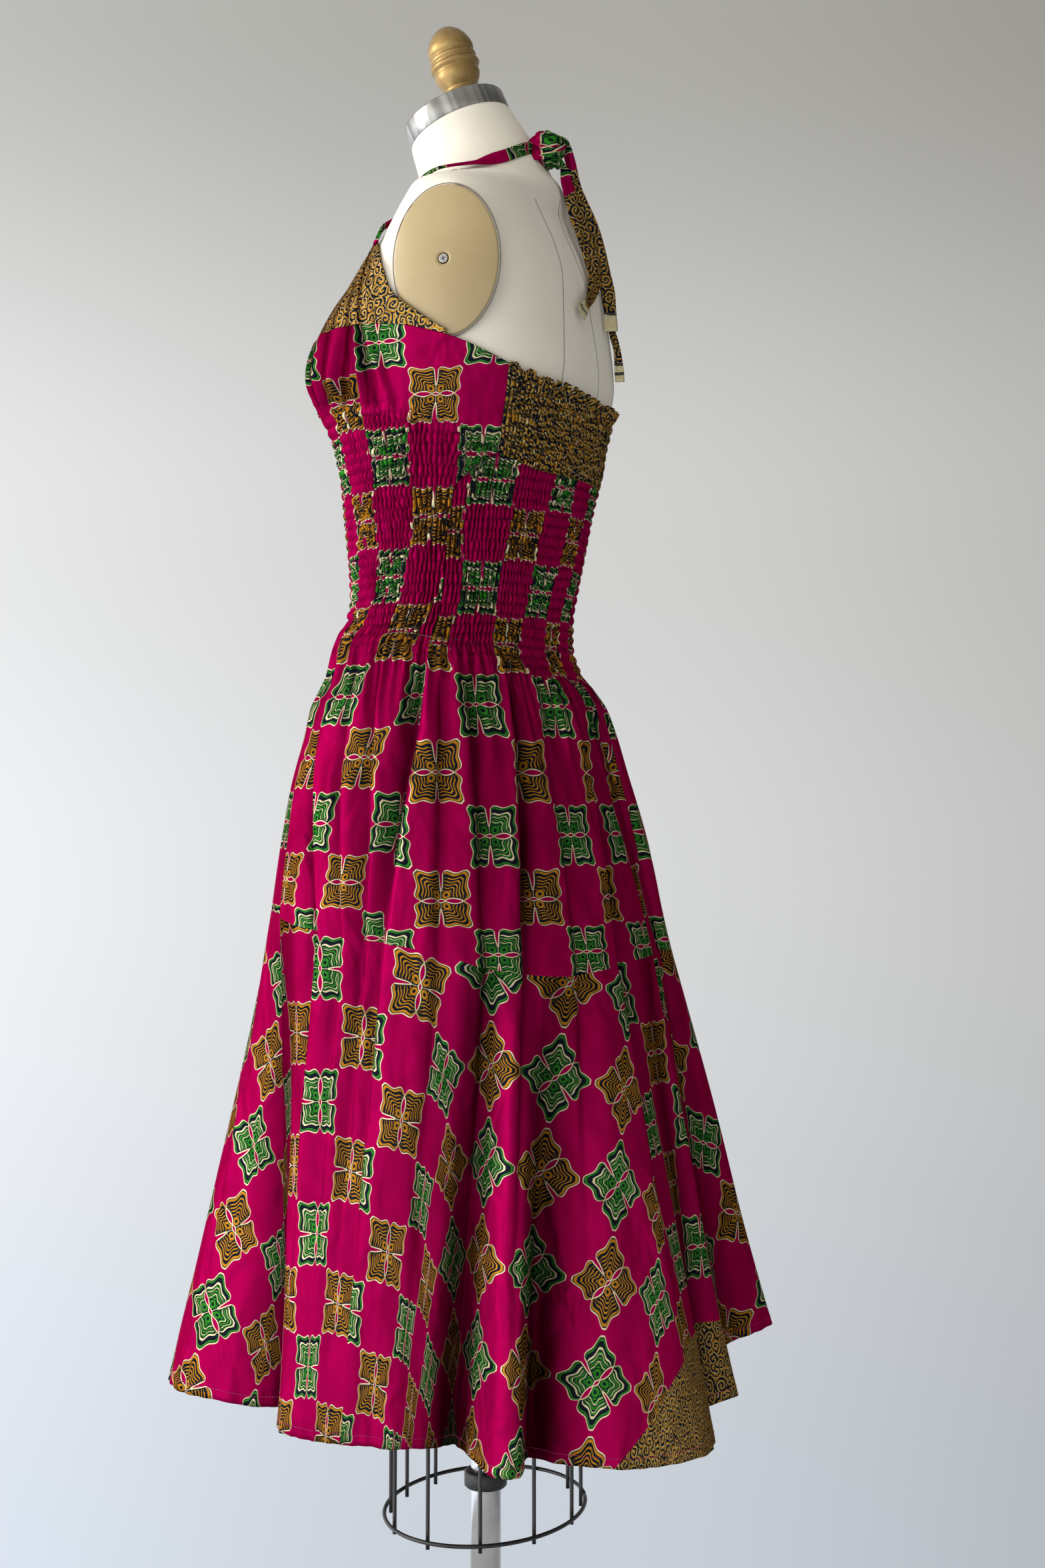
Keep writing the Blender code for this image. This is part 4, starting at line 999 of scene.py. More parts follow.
def build_finial():
    """Turned finial with an acorn's tip, two rings and a waisted foot."""
    profile = (
        (0.0, 0.0690), (0.0035, 0.0686), (0.0072, 0.0672), (0.0120, 0.0638), (0.0160, 0.0590),
        (0.0186, 0.0535), (0.0196, 0.0490), (0.0192, 0.0462), (0.0180, 0.0446), (0.0176, 0.0438),
        (0.0188, 0.0430), (0.0198, 0.0416), (0.0199, 0.0402), (0.0190, 0.0388), (0.0182, 0.0378),
        (0.0186, 0.0370), (0.0206, 0.0356), (0.0212, 0.0338), (0.0206, 0.0322), (0.0188, 0.0308),
        (0.0184, 0.0296), (0.0192, 0.0276), (0.0193, 0.0250), (0.0182, 0.0215), (0.0162, 0.0175),
        (0.0140, 0.0142), (0.0132, 0.0128), (0.0142, 0.0114), (0.0148, 0.0096), (0.0147, 0.0074),
        (0.0132, 0.0058), (0.0098, 0.0048), (0.0082, 0.0040), (0.0080, 0.0004), (0.0, 0.0004),
    )
    y, z, lean = FINIAL_FOOT
    turned_piece("form_finial", profile, 72, GOLD, "finial_metal", "finial", (0.0, y, z + 0.0004), lean)


def armhole_oval(x, half_depth, half_height, t):
    """Points of an upright oval round the arm plate's centre."""
    return np.stack([
        np.full_like(t, x), ARM_PLATE_Y + half_depth * np.cos(t), ARM_PLATE_Z + half_height * np.sin(t),
    ], -1)


def build_arm_plate(side, word):
    """Domed oval plate with a round recess for its screw, and round it a thin dark tube as the armhole's
    painted shadow line.
    """
    t = np.arange(72) * math.tau / 72
    rings = [(ARM_PLATE_HALF_DEPTH, ARM_PLATE_HALF_HEIGHT, up) for up in (0.0, 0.0007)]
    for share in (0.995, 0.97, 0.93, 0.86, 0.76, 0.64, 0.5, 0.36, 0.24):
        up = ARM_PLATE_EDGE + ARM_PLATE_DOME * (1.0 - share ** 2)
        rings.append((ARM_PLATE_HALF_DEPTH * share, ARM_PLATE_HALF_HEIGHT * share, up))
    for share, sunk in ((0.15, 0.0), (0.105, 0.0), (0.095, 0.0006), (0.088, 0.0030)):
        radius = SCREW_RECESS * share / 0.105
        rings.append((radius, radius, ARM_PLATE_EDGE + ARM_PLATE_DOME * (1.0 - share ** 2) - sunk))
    points = np.array([
        armhole_oval(side * (ARM_PLATE_X + up), half_depth, half_height, t)[::side]
        for half_depth, half_height, up in rings
    ])
    plate = grid_object("form_arm_plate_" + word, points, None, PLATE, closed=True)
    stands_for(plate, "arm_plate", "arm_plate_" + word)

    # Painted shadow: a thin dark tube just off the canvas round the plate
    t = np.arange(97) * math.tau / 96
    wider = 0.0012
    rim = armhole_oval(
        side * (TORSO_SIDE_X - 0.0004), ARM_PLATE_HALF_DEPTH + wider, ARM_PLATE_HALF_HEIGHT + wider, t,
    )
    stands_for(tube("form_armhole_shadow_line_" + word, rim, 0.0006, SEAM_THREAD_AND_SHADOW), "canvas")


def build_arm_screw(side, word):
    """Low round screw in the plate's recess, with thin black bars on its head as painted shade in its
    cross.
    """
    under_head = side * (ARM_PLATE_X + ARM_PLATE_EDGE + ARM_PLATE_DOME - 0.0026)
    bpy.ops.mesh.primitive_cylinder_add(
        vertices=32, radius=SCREW_RADIUS, depth=SCREW_DEPTH,
        location=(under_head + side * SCREW_DEPTH / 2, ARM_PLATE_Y, ARM_PLATE_Z),
        rotation=(0.0, math.pi / 2, 0.0),
    )
    screw = bpy.context.object
    screw.name = "form_arm_screw_" + word
    screw.data.materials.append(SCREW_STEEL)
    edge = screw.modifiers.new("edge", "BEVEL")
    edge.width = 0.0004
    edge.segments = 2
    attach(screw, "root")
    stands_for(screw, "screw_steel", "arm_screw_" + word)
    # Painted shade: thin black bars laid on the head where the cross's slots are
    for number in (1, 2):
        bpy.ops.mesh.primitive_cube_add(
            size=1.0, rotation=(0.35 + (number - 1) * math.pi / 2, 0.0, 0.0),
            location=(under_head + side * (SCREW_DEPTH + 0.00002), ARM_PLATE_Y, ARM_PLATE_Z),
        )
        slot = bpy.context.object
        slot.name = "form_screw_cross_%s_%d" % (word, number)
        slot.scale = (0.0002, 0.0007, 0.0040)
        slot.data.materials.append(BLACK_WIRE)
        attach(slot, "root")
        stands_for(slot, "screw_steel")


def build_form():
    """Torso, seams, neck cap, finial and arm plates."""
    build_torso()
    build_canvas_seams()
    build_neck_cap()
    build_finial()
    for side, word in SIDES:
        build_arm_plate(side, word)
        build_arm_screw(side, word)


# Stand
def build_base():
    """Round iron plate with a hub that flares into it."""
    r = HUB_RADIUS
    profile = (
        (0.0, HUB_TOP), (r - 0.004, HUB_TOP), (r - 0.001, HUB_TOP - 0.0015), (r, HUB_TOP - 0.004),
        (r + 0.003, 0.030), (r + 0.008, 0.0255), (r + 0.020, 0.0235), (0.110, 0.018),
        (BASE_RADIUS - 0.008, BASE_EDGE + 0.0006), (BASE_RADIUS - 0.003, BASE_EDGE - 0.0008),
        (BASE_RADIUS, BASE_EDGE - 0.005), (BASE_RADIUS, 0.0), (0.0, 0.0),
    )
    turned_piece("stand_base", profile, 128, BASE_IRON, "base_iron", "base_plate")


def build_pole():
    """Chromed pole from the hub to the torso, and the collar that clamps on it."""
    low = HUB_TOP + AIR
    high = TORSO_BOTTOM - AIR
    profile = ((0.0, high), (POLE_RADIUS, high), (POLE_RADIUS, low), (0.0, low))
    pole = turned_piece("stand_pole", profile, 48, CHROME, "pole_chrome", "pole")
    edge = pole.modifiers.new("edge", "BEVEL")
    edge.width = 0.0004
    edge.limit_method = "ANGLE"
    bore = POLE_RADIUS + AIR
    top = COLLAR_TOP
    foot = COLLAR_TOP - COLLAR_HEIGHT
    profile = (
        (bore, top), (COLLAR_RADIUS - 0.002, top), (COLLAR_RADIUS, top - 0.002),
        (COLLAR_RADIUS, foot + 0.002), (COLLAR_RADIUS - 0.002, foot), (bore, foot), (bore, top),
    )
    turned_piece("stand_collar", profile, 48, BLACK_PLASTIC, "collar_plastic", "pole_collar")


def build_cage():
    """Open wire hoop and the uprights that bend in towards it from the torso."""
    t = np.radians(HOOP_OPENING + HOOP_GAP / 2 + (360.0 - HOOP_GAP) * np.linspace(0, 1, 145))
    x = HOOP_HALF_WIDTH * np.sin(t)
    y = -HOOP_HALF_DEPTH * np.cos(t)
    path = np.stack([x, y, np.full_like(t, HOOP_Z)], -1)
    stands_for(tube("cage_hoop_wire", path, WIRE_RADIUS, BLACK_WIRE, 10), "cage_wire_black", "cage_hoop")
    bends = ((0.0, 1.0), (0.14, 0.72), (0.42, 0.22), (0.70, 0.0), (1.0, 0.0))
    share = np.linspace(0, 1, 30)
    z = TORSO_BOTTOM - 0.0005 + (HOOP_Z - 0.006 - TORSO_BOTTOM) * share
    inside = 2 * WIRE_RADIUS + AIR
    reach = np.array([HOOP_HALF_WIDTH - inside, -(HOOP_HALF_DEPTH - inside)])
    for number, degrees in enumerate(WIRES, 1):
        foot = reach * [math.sin(math.radians(degrees)), math.cos(math.radians(degrees))]
        top = form_point(degrees, TORSO_BOTTOM, -0.008)[:2]
        xy = foot + (top - foot) * curve(bends, share)[:, None]
        path = np.column_stack([xy, z])
        wire = tube("cage_upright_%02d" % number, path, WIRE_RADIUS, BLACK_WIRE, 10)
        stands_for(wire, "cage_wire_black", "cage_wire_%02d" % number)


# Flat cloth
def hip_length(degrees):
    """Length round the hip from the front, for either way round, in metres."""
    at = np.arange(-185.0, 366.0, 1.0)
    total = lengths_along(cloth_point(at, HIP_Z))
    return np.interp(degrees, at, total - np.interp(0.0, at, total))


def hidden_cloth(degrees, v, blur=0.0):
    """Cloth tucked away in the creases up to an angle, in metres."""
    total = 0.0
    for top, foot, depth, hidden, steep in CREASES:
        at = foot + (top - foot) * v
        wide = 1.1 + blur + 2.6 * smooth(v, 0.55, 1.0)
        total = total + hidden * smooth(degrees, at - wide, at + wide)
    return total


def cloth_u(degrees, z, v, back=False, blur=0.0):
    """Flat-cloth distance round the body, with the flowers' columns where the photo has them."""
    rows = COLUMN_BACK if back else COLUMN_FRONT
    column = curve(rows, z, 1)
    spacing = curve(rows, z, 2)
    ends = (SKIRT_SIDE, 360.0 - SKIRT_SIDE) if back else (-SKIRT_SIDE, SKIRT_SIDE)
    first = hidden_cloth(ends[0], v, blur)
    last = hidden_cloth(ends[1], v, blur)
    even = first + (last - first) * (degrees - ends[0]) / (ends[1] - ends[0])
    folded = 0.55 * (hidden_cloth(degrees, v, blur) - even)
    if back:
        return CHECK * (3.0 + (degrees - column) / spacing) + folded

    # The front has six columns from its middle to the known one, evenly spread towards the middle
    side = np.abs(degrees)
    slope = 6.0 / column
    cells = side * slope + (slope - 1.0 / spacing) / column * side * (column - side)
    return CHECK * (1.0 + np.sign(degrees) * cells) + folded


def flat_cloth(degrees, z, v, back=False, blur=0.0):
    """Flat-cloth coordinates of the printed cotton on the body."""
    rows = ROWS_BACK if back else ROWS_FRONT
    return np.stack([cloth_u(degrees, z, v, back, blur), CHECK * curve(rows, z)], -1)


def cloth_piece(node, points, cloth, shade_share, material, slot, rests_on):
    """Piece of cloth in a node's place, which works out how large it was cut but keeps none of it; what it
    rests on is not used.
    """
    ob = grid_object("dress_" + node, points, cloth, material, shade_share=shade_share)
    stands_for(ob, slot, node)
    uv = np.zeros(len(ob.data.loops) * 2, np.float32)
    ob.data.uv_layers["cloth"].data.foreach_get("uv", uv)
    uv = uv.reshape(-1, 2)
    width, length = (uv.max(0) - uv.min(0)).tolist()
    corners = uv.reshape(-1, 4, 2)
    p = corners[:, 2] - corners[:, 0]
    q = corners[:, 3] - corners[:, 1]
    area = float(np.abs(p[:, 0] * q[:, 1] - p[:, 1] * q[:, 0]).sum() / 2)
    area = min(max(area, 0.31 * width * length), width * length)


# Shirred cloth
def ribs(degrees, z, shirring, size=PUFF, foot=PUFF_FOOT):
    """Puffs of shirred cloth between its elastic threads, their share of painted shade, and the puffs'
    wave.
    """
    start, end, count, seed = shirring
    turn = (degrees - start) / (end - start) * count
    row = z / SHIRR_ROW + 0.12 * np.sin(turn * 0.21 + seed)
    shift = 0.34 * wander(turn * 0.23, np.floor(row) * 1.7, seed)
    shift = shift + 0.22 * wander(turn * 0.9, row * 0.8, seed + 2)
    wave = np.abs(np.cos(math.pi * (turn + shift))) ** 0.85 * 2.0 - 1.0
    held = np.abs(np.sin(math.pi * row)) ** 0.7
    uneven = 0.85 + 0.30 * wander(turn * 0.37, row * 0.45, seed + 5)
    puff = size * uneven * wave * (0.45 + 0.55 * held)
    # Painted shade in the valleys between the puffs and along the elastic threads
    shade_share = (0.5 - 0.5 * wave) ** 1.4 * 0.95 + 0.50 * (1.0 - held) ** 2.0
    swing = np.sin(math.tau * (turn + shift))
    return foot + puff + 0.0012 * held, np.clip(shade_share, 0.0, 1.0), (wave, swing)


def puckered(cloth, wave, share=1.0):
    """Flat-cloth coordinates pushed about by the puffs of the shirring."""
    puff, swing = wave
    moved = np.stack([-0.0017 * swing, 0.0015 * puff], -1)
    return cloth + moved * np.broadcast_to(share, puff.shape)[..., None]


def add_turning(points, cloth, shade, degrees, z, fold, depth, keep):
    """Adds two rows that turn the top edge in, the second of them at a depth below the edge."""
    for down, share in ((0.0004, 1.0), (depth, keep)):
        row = cloth_point(degrees[-1:], z[-1:] - down, WALL * 0.2 + fold[-1:] * share)
        points = np.concatenate([points, row])
    last = cloth[-1:]
    cloth = np.concatenate([cloth, last + [0, 0.002], last + [0, depth + 0.002]])
    return points, cloth, np.concatenate([shade, shade[-1:], shade[-1:]])


def build_yoke(side, word):
    """Ochre yoke with folds that run down from the strap."""
    u, v = grid(190, 44)
    degrees = YOKE_START + (YOKE_END - YOKE_START) * u
    low = curve(BODICE_TOP, degrees) + YOKE_OFF_BODICE
    top = np.maximum(curve(YOKE_TOP, degrees), low + 0.0025)
    z = low + (top - low) * v
    from_strap = (degrees - YOKE_POINT) / (0.35 + 0.65 * (1 - v) ** 0.8)
    fold = sum(height * bell(from_strap - at, wide) for at, wide, height in YOKE_FOLDS)
    puff = 0.62 * fold * smooth(v, -0.1, 0.25) * (0.35 + 0.65 * v)
    drawn_in = 0.0014 * bell(degrees - 58.0, 24.0) * (1.0 - v)
    shades = [strength * bell(from_strap - at, wide, 1.4) for at, wide, strength in YOKE_SHADES]
    edge = smooth(degrees, YOKE_END, YOKE_END - 8)
    puff = (puff - drawn_in) * edge
    points = cloth_point(degrees, z, WALL + puff)
    cloth = np.stack([hip_length(degrees), z], -1)
    shade = np.maximum.reduce(shades) * edge
    points, cloth, shade = add_turning(points, cloth, shade, degrees, z, puff, 0.006, 0.8)
    if side < 0:
        points = points[:, ::-1] * np.array([-1.0, 1.0, 1.0])
        cloth = cloth[:, ::-1] + [0.31, 0.17]
        shade = shade[:, ::-1]
    cloth_piece("yoke_" + word, points, cloth, shade, BORDER, "border_cotton", "form_torso")


def build_bodice():
    """Bust cups: soft folds from the yoke and the smocking, and smooth sides."""
    u, v = grid(420, 52, -1.0)
    degrees = BODICE_END * u
    side = np.abs(degrees)
    z = between(SMOCK_TOP, BODICE_TOP, side, v)
    ridges, valleys, shades = [], [], []
    for at, slope, wide, strength in BUST_FOLDS:
        away = (side - at - slope * v - 0.8 * wander(v * 2.2, at * 0.3, 7.0)) / wide
        ridges.append(strength * bell(away + 1.9, 1.0))
        valleys.append(strength * bell(away, 1.2, 1.5))
        shades.append(strength * bell(away, 1.9, 1.3))
    ridge, valley, shade = (np.maximum.reduce(rows) for rows in (ridges, valleys, shades))
    front = bell(np.maximum(side - 52.0, 0.0), 22.0)
    turn = degrees / 4.2 + 0.6 * wander(degrees * 0.05, v * 0.9, 1.0)
    fine = 0.0011 * np.cos(math.tau * turn) * (1 - smooth(v, 0.05, 0.62))
    fold = (0.25 + 0.75 * front) * fine
    fold = fold + (0.0032 * ridge - 0.0034 * valley) * (0.40 + 0.60 * np.sin(math.pi * v))
    blend = smooth(v, 0.0, 0.12)
    puff, painted_shade, wave = ribs(degrees, z, SHIRR_FRONT, 0.0013, 0.0)
    fold = fold * (0.3 + 0.7 * blend) + puff * (1 - smooth(v, 0.0, 0.30)) * bell(side, 112.0, 8)
    # Painted shade between the shirring's puffs at the foot, and in the valleys of the bust's folds above
    painted_shade = np.maximum(painted_shade * (1 - smooth(v, 0.0, 0.22)), shade * smooth(v, 0.0, 0.15))
    points = cloth_point(degrees, z, np.maximum(WALL + 0.0008 * (1 - blend) + fold, 0.0002))
    cloth = puckered(flat_cloth(degrees, z, 1.0, False, 3.0), wave, 1 - smooth(v, 0.0, 0.25))
    points, cloth, painted_shade = add_turning(points, cloth, painted_shade, degrees, z, fold, 0.005, 0.5)
    cloth_piece("bodice_front", points, cloth, painted_shade, FLOWERS, "printed_cotton", "form_torso")


def midriff_top(side, back):
    """Upper edge of the midriff."""
    if not back:
        return curve(SMOCK_TOP, side)
    return np.where(side < 118.9, curve(BACK_SHOULDER, side), curve(PANEL_BOTTOM, side))


def build_midriff(word, rows, shirring, seam_top, lap):
    """Smocked midriff, whose ends follow the side seam up to a height and lap over it by degrees."""
    back = word == "back"
    u, v = grid(shirring[2] * POINTS_PER_RIB + 1, rows, -1.0)
    share = np.abs(u)
    height = MIDRIFF_FOOT + (seam_top - MIDRIFF_FOOT) * v
    edge = curve(SIDE_SEAM, height) + lap
    if back:
        side = 180.0 - (180.0 - edge) * share
        degrees = np.where(u < 0, side, 360.0 - side)
    else:
        straight = 12.0 / 14.0
        bent = 92.0 + (edge - 92.0) * (share - straight) / (1 - straight)
        side = np.where(share <= straight, 92.0 * share / straight, bent)
        degrees = side * np.sign(u)
    low = curve(SMOCK_BOTTOM, side)
    z = low + (midriff_top(side, back) - low) * v
    edge_low = curve(SMOCK_BOTTOM, edge)
    edge_high = midriff_top(edge, back)
    z = z + (height - edge_low - (edge_high - edge_low) * v) * share ** 8
    out, painted_shade, wave = ribs(degrees, z, shirring)
    # Painted shade along the side edges, where the midriff laps over the seam
    painted_shade = np.maximum(painted_shade, bell(1.0 - share, 0.004))
    points = cloth_point(degrees, z, out)
    cloth = puckered(flat_cloth(degrees, z, 1.0, back, 3.0), wave)
    cloth_piece("midriff_" + word, points, cloth, painted_shade, FLOWERS, "printed_cotton", "form_torso")


def build_panel():
    """Ochre shirred back panel with its ruffled heading."""
    u, v = grid(SHIRR_PANEL[2] * POINTS_PER_RIB + 1, 84)
    degrees = PANEL_START + (360.0 - 2 * PANEL_START) * u
    side = np.abs(turned(degrees))
    z = between(PANEL_BOTTOM, PANEL_TOP, side, v)
    out, painted_shade, wave = ribs(degrees, z, SHIRR_PANEL, 0.0018)
    ends = np.clip(6.0 * np.minimum(u, 1.0 - u), 0, 1)
    flare = 0.0022 * np.maximum(0.0, (v - 0.84) / 0.16) ** 1.4 * ends
    loose = smooth(v, 0.84, 0.97)
    turn = (degrees - 119.0) / 122.0 * 42.0 + 0.5 * wander(degrees * 0.09, 0.0, 4.0)
    frill = 0.0016 * np.cos(math.tau * turn) + 0.0010 * np.cos(math.tau * turn * 2.3 + 1.0)
    z = z + loose * (0.0022 * np.sin(math.tau * turn * 0.5) + 0.0012 * wander(degrees * 0.5, 0.0, 2.0))
    points = cloth_point(degrees, z, out * (1 - loose) + (SMOCK_WALL + frill * ends) * loose + flare)
    cloth = puckered(np.stack([hip_length(degrees) * 1.6, z * 1.05], -1), wave, 1 - loose)
    # Painted shade between the puffs, and in the hollows of the ruffled heading
    painted_shade = painted_shade * (1 - loose) + 0.5 * loose * (0.5 - 0.5 * np.cos(math.tau * turn))
    cloth_piece("back_panel", points, cloth, painted_shade, BORDER, "border_cotton", "form_torso")


# Upper skirt
def from_crease(degrees, v, top, foot):
    """Degrees from a crease that wanders from its place at the waist to its place at the seam."""
    return turned(degrees - foot - (top - foot) * v - 0.9 * wander(v * 1.8, foot * 0.2, 1.0))


def creases(degrees, v):
    """Depth of the upper skirt's creases, v from 0 at the seam to 1 at the smocking."""
    total = 0.0
    along = 0.85 + 0.35 * smooth(v, 0.0, 0.45) - 1.10 * smooth(v, 0.74, 0.96)
    for top, foot, depth, hidden, steep in CREASES:
        away = from_crease(degrees, v, top, foot)
        sharp = 0.9 + 0.5 * wander(foot * 0.3, v * 1.5, 2.0) ** 2
        broad = 5.4 + 2.0 * wander(foot * 0.7, v * 1.1, 4.0)
        width = np.where(away * steep > 0.0, sharp, broad)
        total = total + 1.30 * depth * along * bell(away, width, 1.25)
    return total


def crease_shade(degrees, v):
    """Share from 0 to 1 by which cloth lies in the shade of a crease's overlapping edge."""
    total = 0.0
    for top, foot, depth, hidden, steep in CREASES:
        away = from_crease(degrees, v, top, foot)
        width = np.where(away * steep > 0.0, 0.55, 5.2)
        total = total + depth / 0.0105 * bell(away, width, 1.2)
    return np.clip(total, 0.0, 1.0) * (0.55 + 0.45 * smooth(v, 0.0, 0.35))


def upper_out(degrees, v):
    """Distance of the upper skirt's outer face from the plain section."""
    turn = degrees / 3.9 + 0.5 * wander(degrees * 0.07, v * 1.2, 6.0)
    gather = 0.0017 * np.cos(math.tau * turn) * smooth(v, 0.62, 0.97)
    merge = 0.0011 * np.cos(math.tau * turn / 2.0) * smooth(v, 0.35, 0.8) * (1 - smooth(v, 0.85, 1.0))
    slack = 0.0014 * wander(degrees * 0.16, v * 4.0, 9.0) * np.sin(math.pi * np.clip(v, 0, 1))
    return WALL + 0.0032 - creases(degrees, v) + gather + merge + slack


def build_upper_skirt(word, cols, shirring):
    """Gathered upper skirt on the straight grain."""
    back = word == "back"
    u, v = grid(cols, 110)
    seam = SEAM_AT_MIDDLE + (SEAM_AT_WAIST - SEAM_AT_MIDDLE) * smooth(v, 0.0, 1.0)
    start, end = (seam, 360.0 - seam) if back else (-seam, seam)
    degrees = start + (end - start) * u
    side = np.abs(turned(degrees))
    z = between(SKIRT_SEAM, SMOCK_BOTTOM, side, v)

    # Deep creases stop at the form, which is room away from the plain section
    room = section(SKIRT, z)[0] - section(TORSO, z)[0]
    out = np.maximum(upper_out(degrees, v), CLOTH_OFF_FORM - room)
    ribbed, painted_shade, wave = ribs(degrees, z, shirring)
    join = smooth(v, 0.955, 1.0)
    points = cloth_point(degrees, z, out * (1 - join) + ribbed * 0.8 * join)
    near = smooth(v, 0.80, 0.99)
    # Painted shade between the puffs near the smocking, and beside the creases' overlapping edges below
    painted_shade = painted_shade * near + crease_shade(degrees, v) * (1 - near)
    cloth = puckered(flat_cloth(degrees, z, v, back), wave, smooth(v, 0.86, 1.0))
    carrier = "dress_midriff_" + word
    cloth_piece("upper_skirt_" + word, points, cloth, painted_shade, FLOWERS, "printed_cotton", carrier)


# Lower skirt
def hem_point(degrees):
    """Points on the outer edge of the hem."""
    degrees = degrees % 360.0
    r = curve(HEM_ROUND, degrees)
    t = np.radians(degrees)
    z = curve(HEM_HEIGHT, degrees) + 0.0016 * wander(degrees * 0.11, 0.0, 3.0)
    return np.stack([HEM_CENTRE[0] + r * np.sin(t), HEM_CENTRE[1] - r * np.cos(t), z], -1)


def hem_valley(degrees):
    """How far the hem lies inside its own mean course, from 0 to 1."""
    near = [curve(HEM_ROUND, degrees + away) for away in np.arange(-14.0, 15.0, 2.0)]
    return np.clip((sum(near) / len(near) - curve(HEM_ROUND, degrees)) / 0.022, 0.0, 1.0)


def lay_flat(top, low, turn):
    """Flat coordinates of a flared strip whose grain turns by known angles."""
    flat_top = [np.zeros(2)]
    for k in range(1, len(top)):
        step = np.linalg.norm(top[k] - top[k - 1])
        middle = 0.5 * (turn[k] + turn[k - 1])
        flat_top.append(flat_top[-1] + step * np.array([math.cos(middle), math.sin(middle)]))
    flat_top = np.array(flat_top)
    long = np.linalg.norm(top - low, axis=1)[:, None]
    return flat_top, flat_top + long * np.stack([np.sin(turn), -np.cos(turn)], -1)


def stitches(name, path, normal, spacing=0.0032, length=0.0022):
    """Row of small thread stitches along a line on the cloth."""
    total = lengths_along(path)
    verts = []
    faces = []
    for s in np.arange(spacing, total[-1] - spacing, spacing):
        a, b = (np.array([np.interp(at, total, path[:, k]) for k in range(3)]) for at in (s, s + length))
        n = unit(np.array([np.interp(s, total, normal[:, k]) for k in range(3)]))
        side = np.cross(n, unit(b - a)) * 0.00022
        raised = (a + b) / 2 + n * 0.00034
        k = len(verts)
        verts += [a - side, a + side, raised + side, raised - side, b - side, b + side]
        faces += [(k, k + 1, k + 2, k + 3), (k + 3, k + 2, k + 5, k + 4)]
    me = bpy.data.meshes.new(name)
    me.from_pydata([tuple(p) for p in verts], [], faces)
    stands_for(new_object(name, me, MAGENTA_THREAD), "printed_cotton")


def build_lower_skirt(word, cols, turns, centre_at, material, lift):
    """Flared lower skirt, its print laid out on the flat and carried over, and its hem turned up.

    Gives the line of the hem's stitches and the cloth's normals along it.
    """
    middle = 0.0 if word == "front" else 180.0
    share = np.linspace(-1.0, 1.0, cols)
    degrees_top = middle + abs(middle - SEAM_AT_MIDDLE) * share
    degrees_low = middle + abs(middle - SEAM_AT_HEM) * share
    seam_z = curve(SKIRT_SEAM, np.abs(turned(degrees_top)))
    top = cloth_point(degrees_top, seam_z, upper_out(degrees_top, 0.0 * degrees_top))
    low = hem_point(degrees_low)
    turn = np.radians(curve(turns, 0.5 * (degrees_top + degrees_low)))
    flat_top, flat_low = lay_flat(top, low, turn)
    move = np.array([0.0, lift]) - flat_top[np.argmin(np.abs(degrees_top - centre_at))]

    v = np.linspace(0, 1, 96)[:, None]
    points = low + (top - low) * v[..., None]
    cloth = flat_low + (flat_top - flat_low) * v[..., None] + move
    across = np.gradient(points, axis=1)
    normal = unit(np.stack([across[..., 1], -across[..., 0], 0.0 * across[..., 0]], -1))
    degrees = degrees_low + (degrees_top - degrees_low) * v
    slack = 0.0022 * wander(degrees * 0.13, v * 3.0, 21.0) * np.sin(math.pi * v) ** 0.7
    pull = 0.0007 * np.cos(degrees * 1.9 + 2.0 * wander(degrees * 0.3, 0.0, 5.0)) * bell(v, 0.05)
    points = points + normal * (slack + pull)[..., None]
    # Painted shade in the hem's inward valleys, and under the creases that run down from the upper skirt
    shade = hem_valley(degrees_low) * (1.0 - 0.35 * v)
    shade = np.maximum(shade, crease_shade(degrees_top, 0.0) * smooth(v, 0.35, 1.0))

    # The hem: the skirt's first row seen from inside, and its fourth row where the turned edge ends
    turning = [points[3:4] - normal[3:4] * 0.0012, points[:1] - normal[:1] * 0.0009]
    cloth = np.concatenate([cloth[3:4], cloth[:1], cloth])
    cloth = np.stack([cloth[..., 1], -cloth[..., 0]], -1)
    shade = np.concatenate([shade[3:4], shade[:1], shade])
    skirt = np.concatenate([*turning, points])
    carrier = "dress_upper_skirt_" + word
    cloth_piece("lower_skirt_" + word, skirt, cloth, shade, material, "printed_cotton", carrier)
    return points[2] + normal[2] * 0.0002, normal[2]


# Straps, knot and tie ends
def band(name, stations, material):
    """Folded strip of cloth through stations of centre, width direction x and y, width and direction z."""
    count = 70
    order = np.linspace(0, len(stations) - 1, count)
    rows = [(k, *station) for k, station in enumerate(stations)]
    centre = np.stack([curve(rows, order, c) for c in (1, 2, 3)], -1)
    across = np.stack([curve(rows, order, c) for c in (4, 5, 7)], -1)
    width = curve(rows, order, 6)
    along = unit(np.gradient(centre, axis=0))
    across = unit(across - along * (across * along).sum(1)[:, None])
    normal = np.cross(along, across)
    length = lengths_along(centre)
    share = np.linspace(-1, 1, STRIP_SIDES // 2)
    ring = np.concatenate([share, share[::-1]])
    face = np.repeat([-1.0, 1.0], STRIP_SIDES // 2)
    flat = np.sqrt(np.clip(1.0 - np.abs(ring) ** 6, 0.0, 1.0))
    points = []
    cloth = []
    for k in range(count):
        crease = 0.0006 * np.cos(3.0 * ring + 0.25 * k) + 0.0005 * np.sin(0.5 * k) * ring
        up = face * WALL / 2 * (0.35 + 0.65 * flat) + crease
        aside = ring * width[k] / 2
        points.append(centre[k] + np.outer(aside, across[k]) + np.outer(up, normal[k]))
        cloth.append(np.stack([aside + 0.011, np.full(STRIP_SIDES, length[k])], -1))
    return grid_object(name, np.array(points), np.array(cloth), material, closed=True), length


def declare_tie(ob, length, width, slot, node):
    """A tie is a narrow folded strip. Hides the CAD node that it replaces; its length and finished width
    are not used.
    """
    stands_for(ob, slot, node)


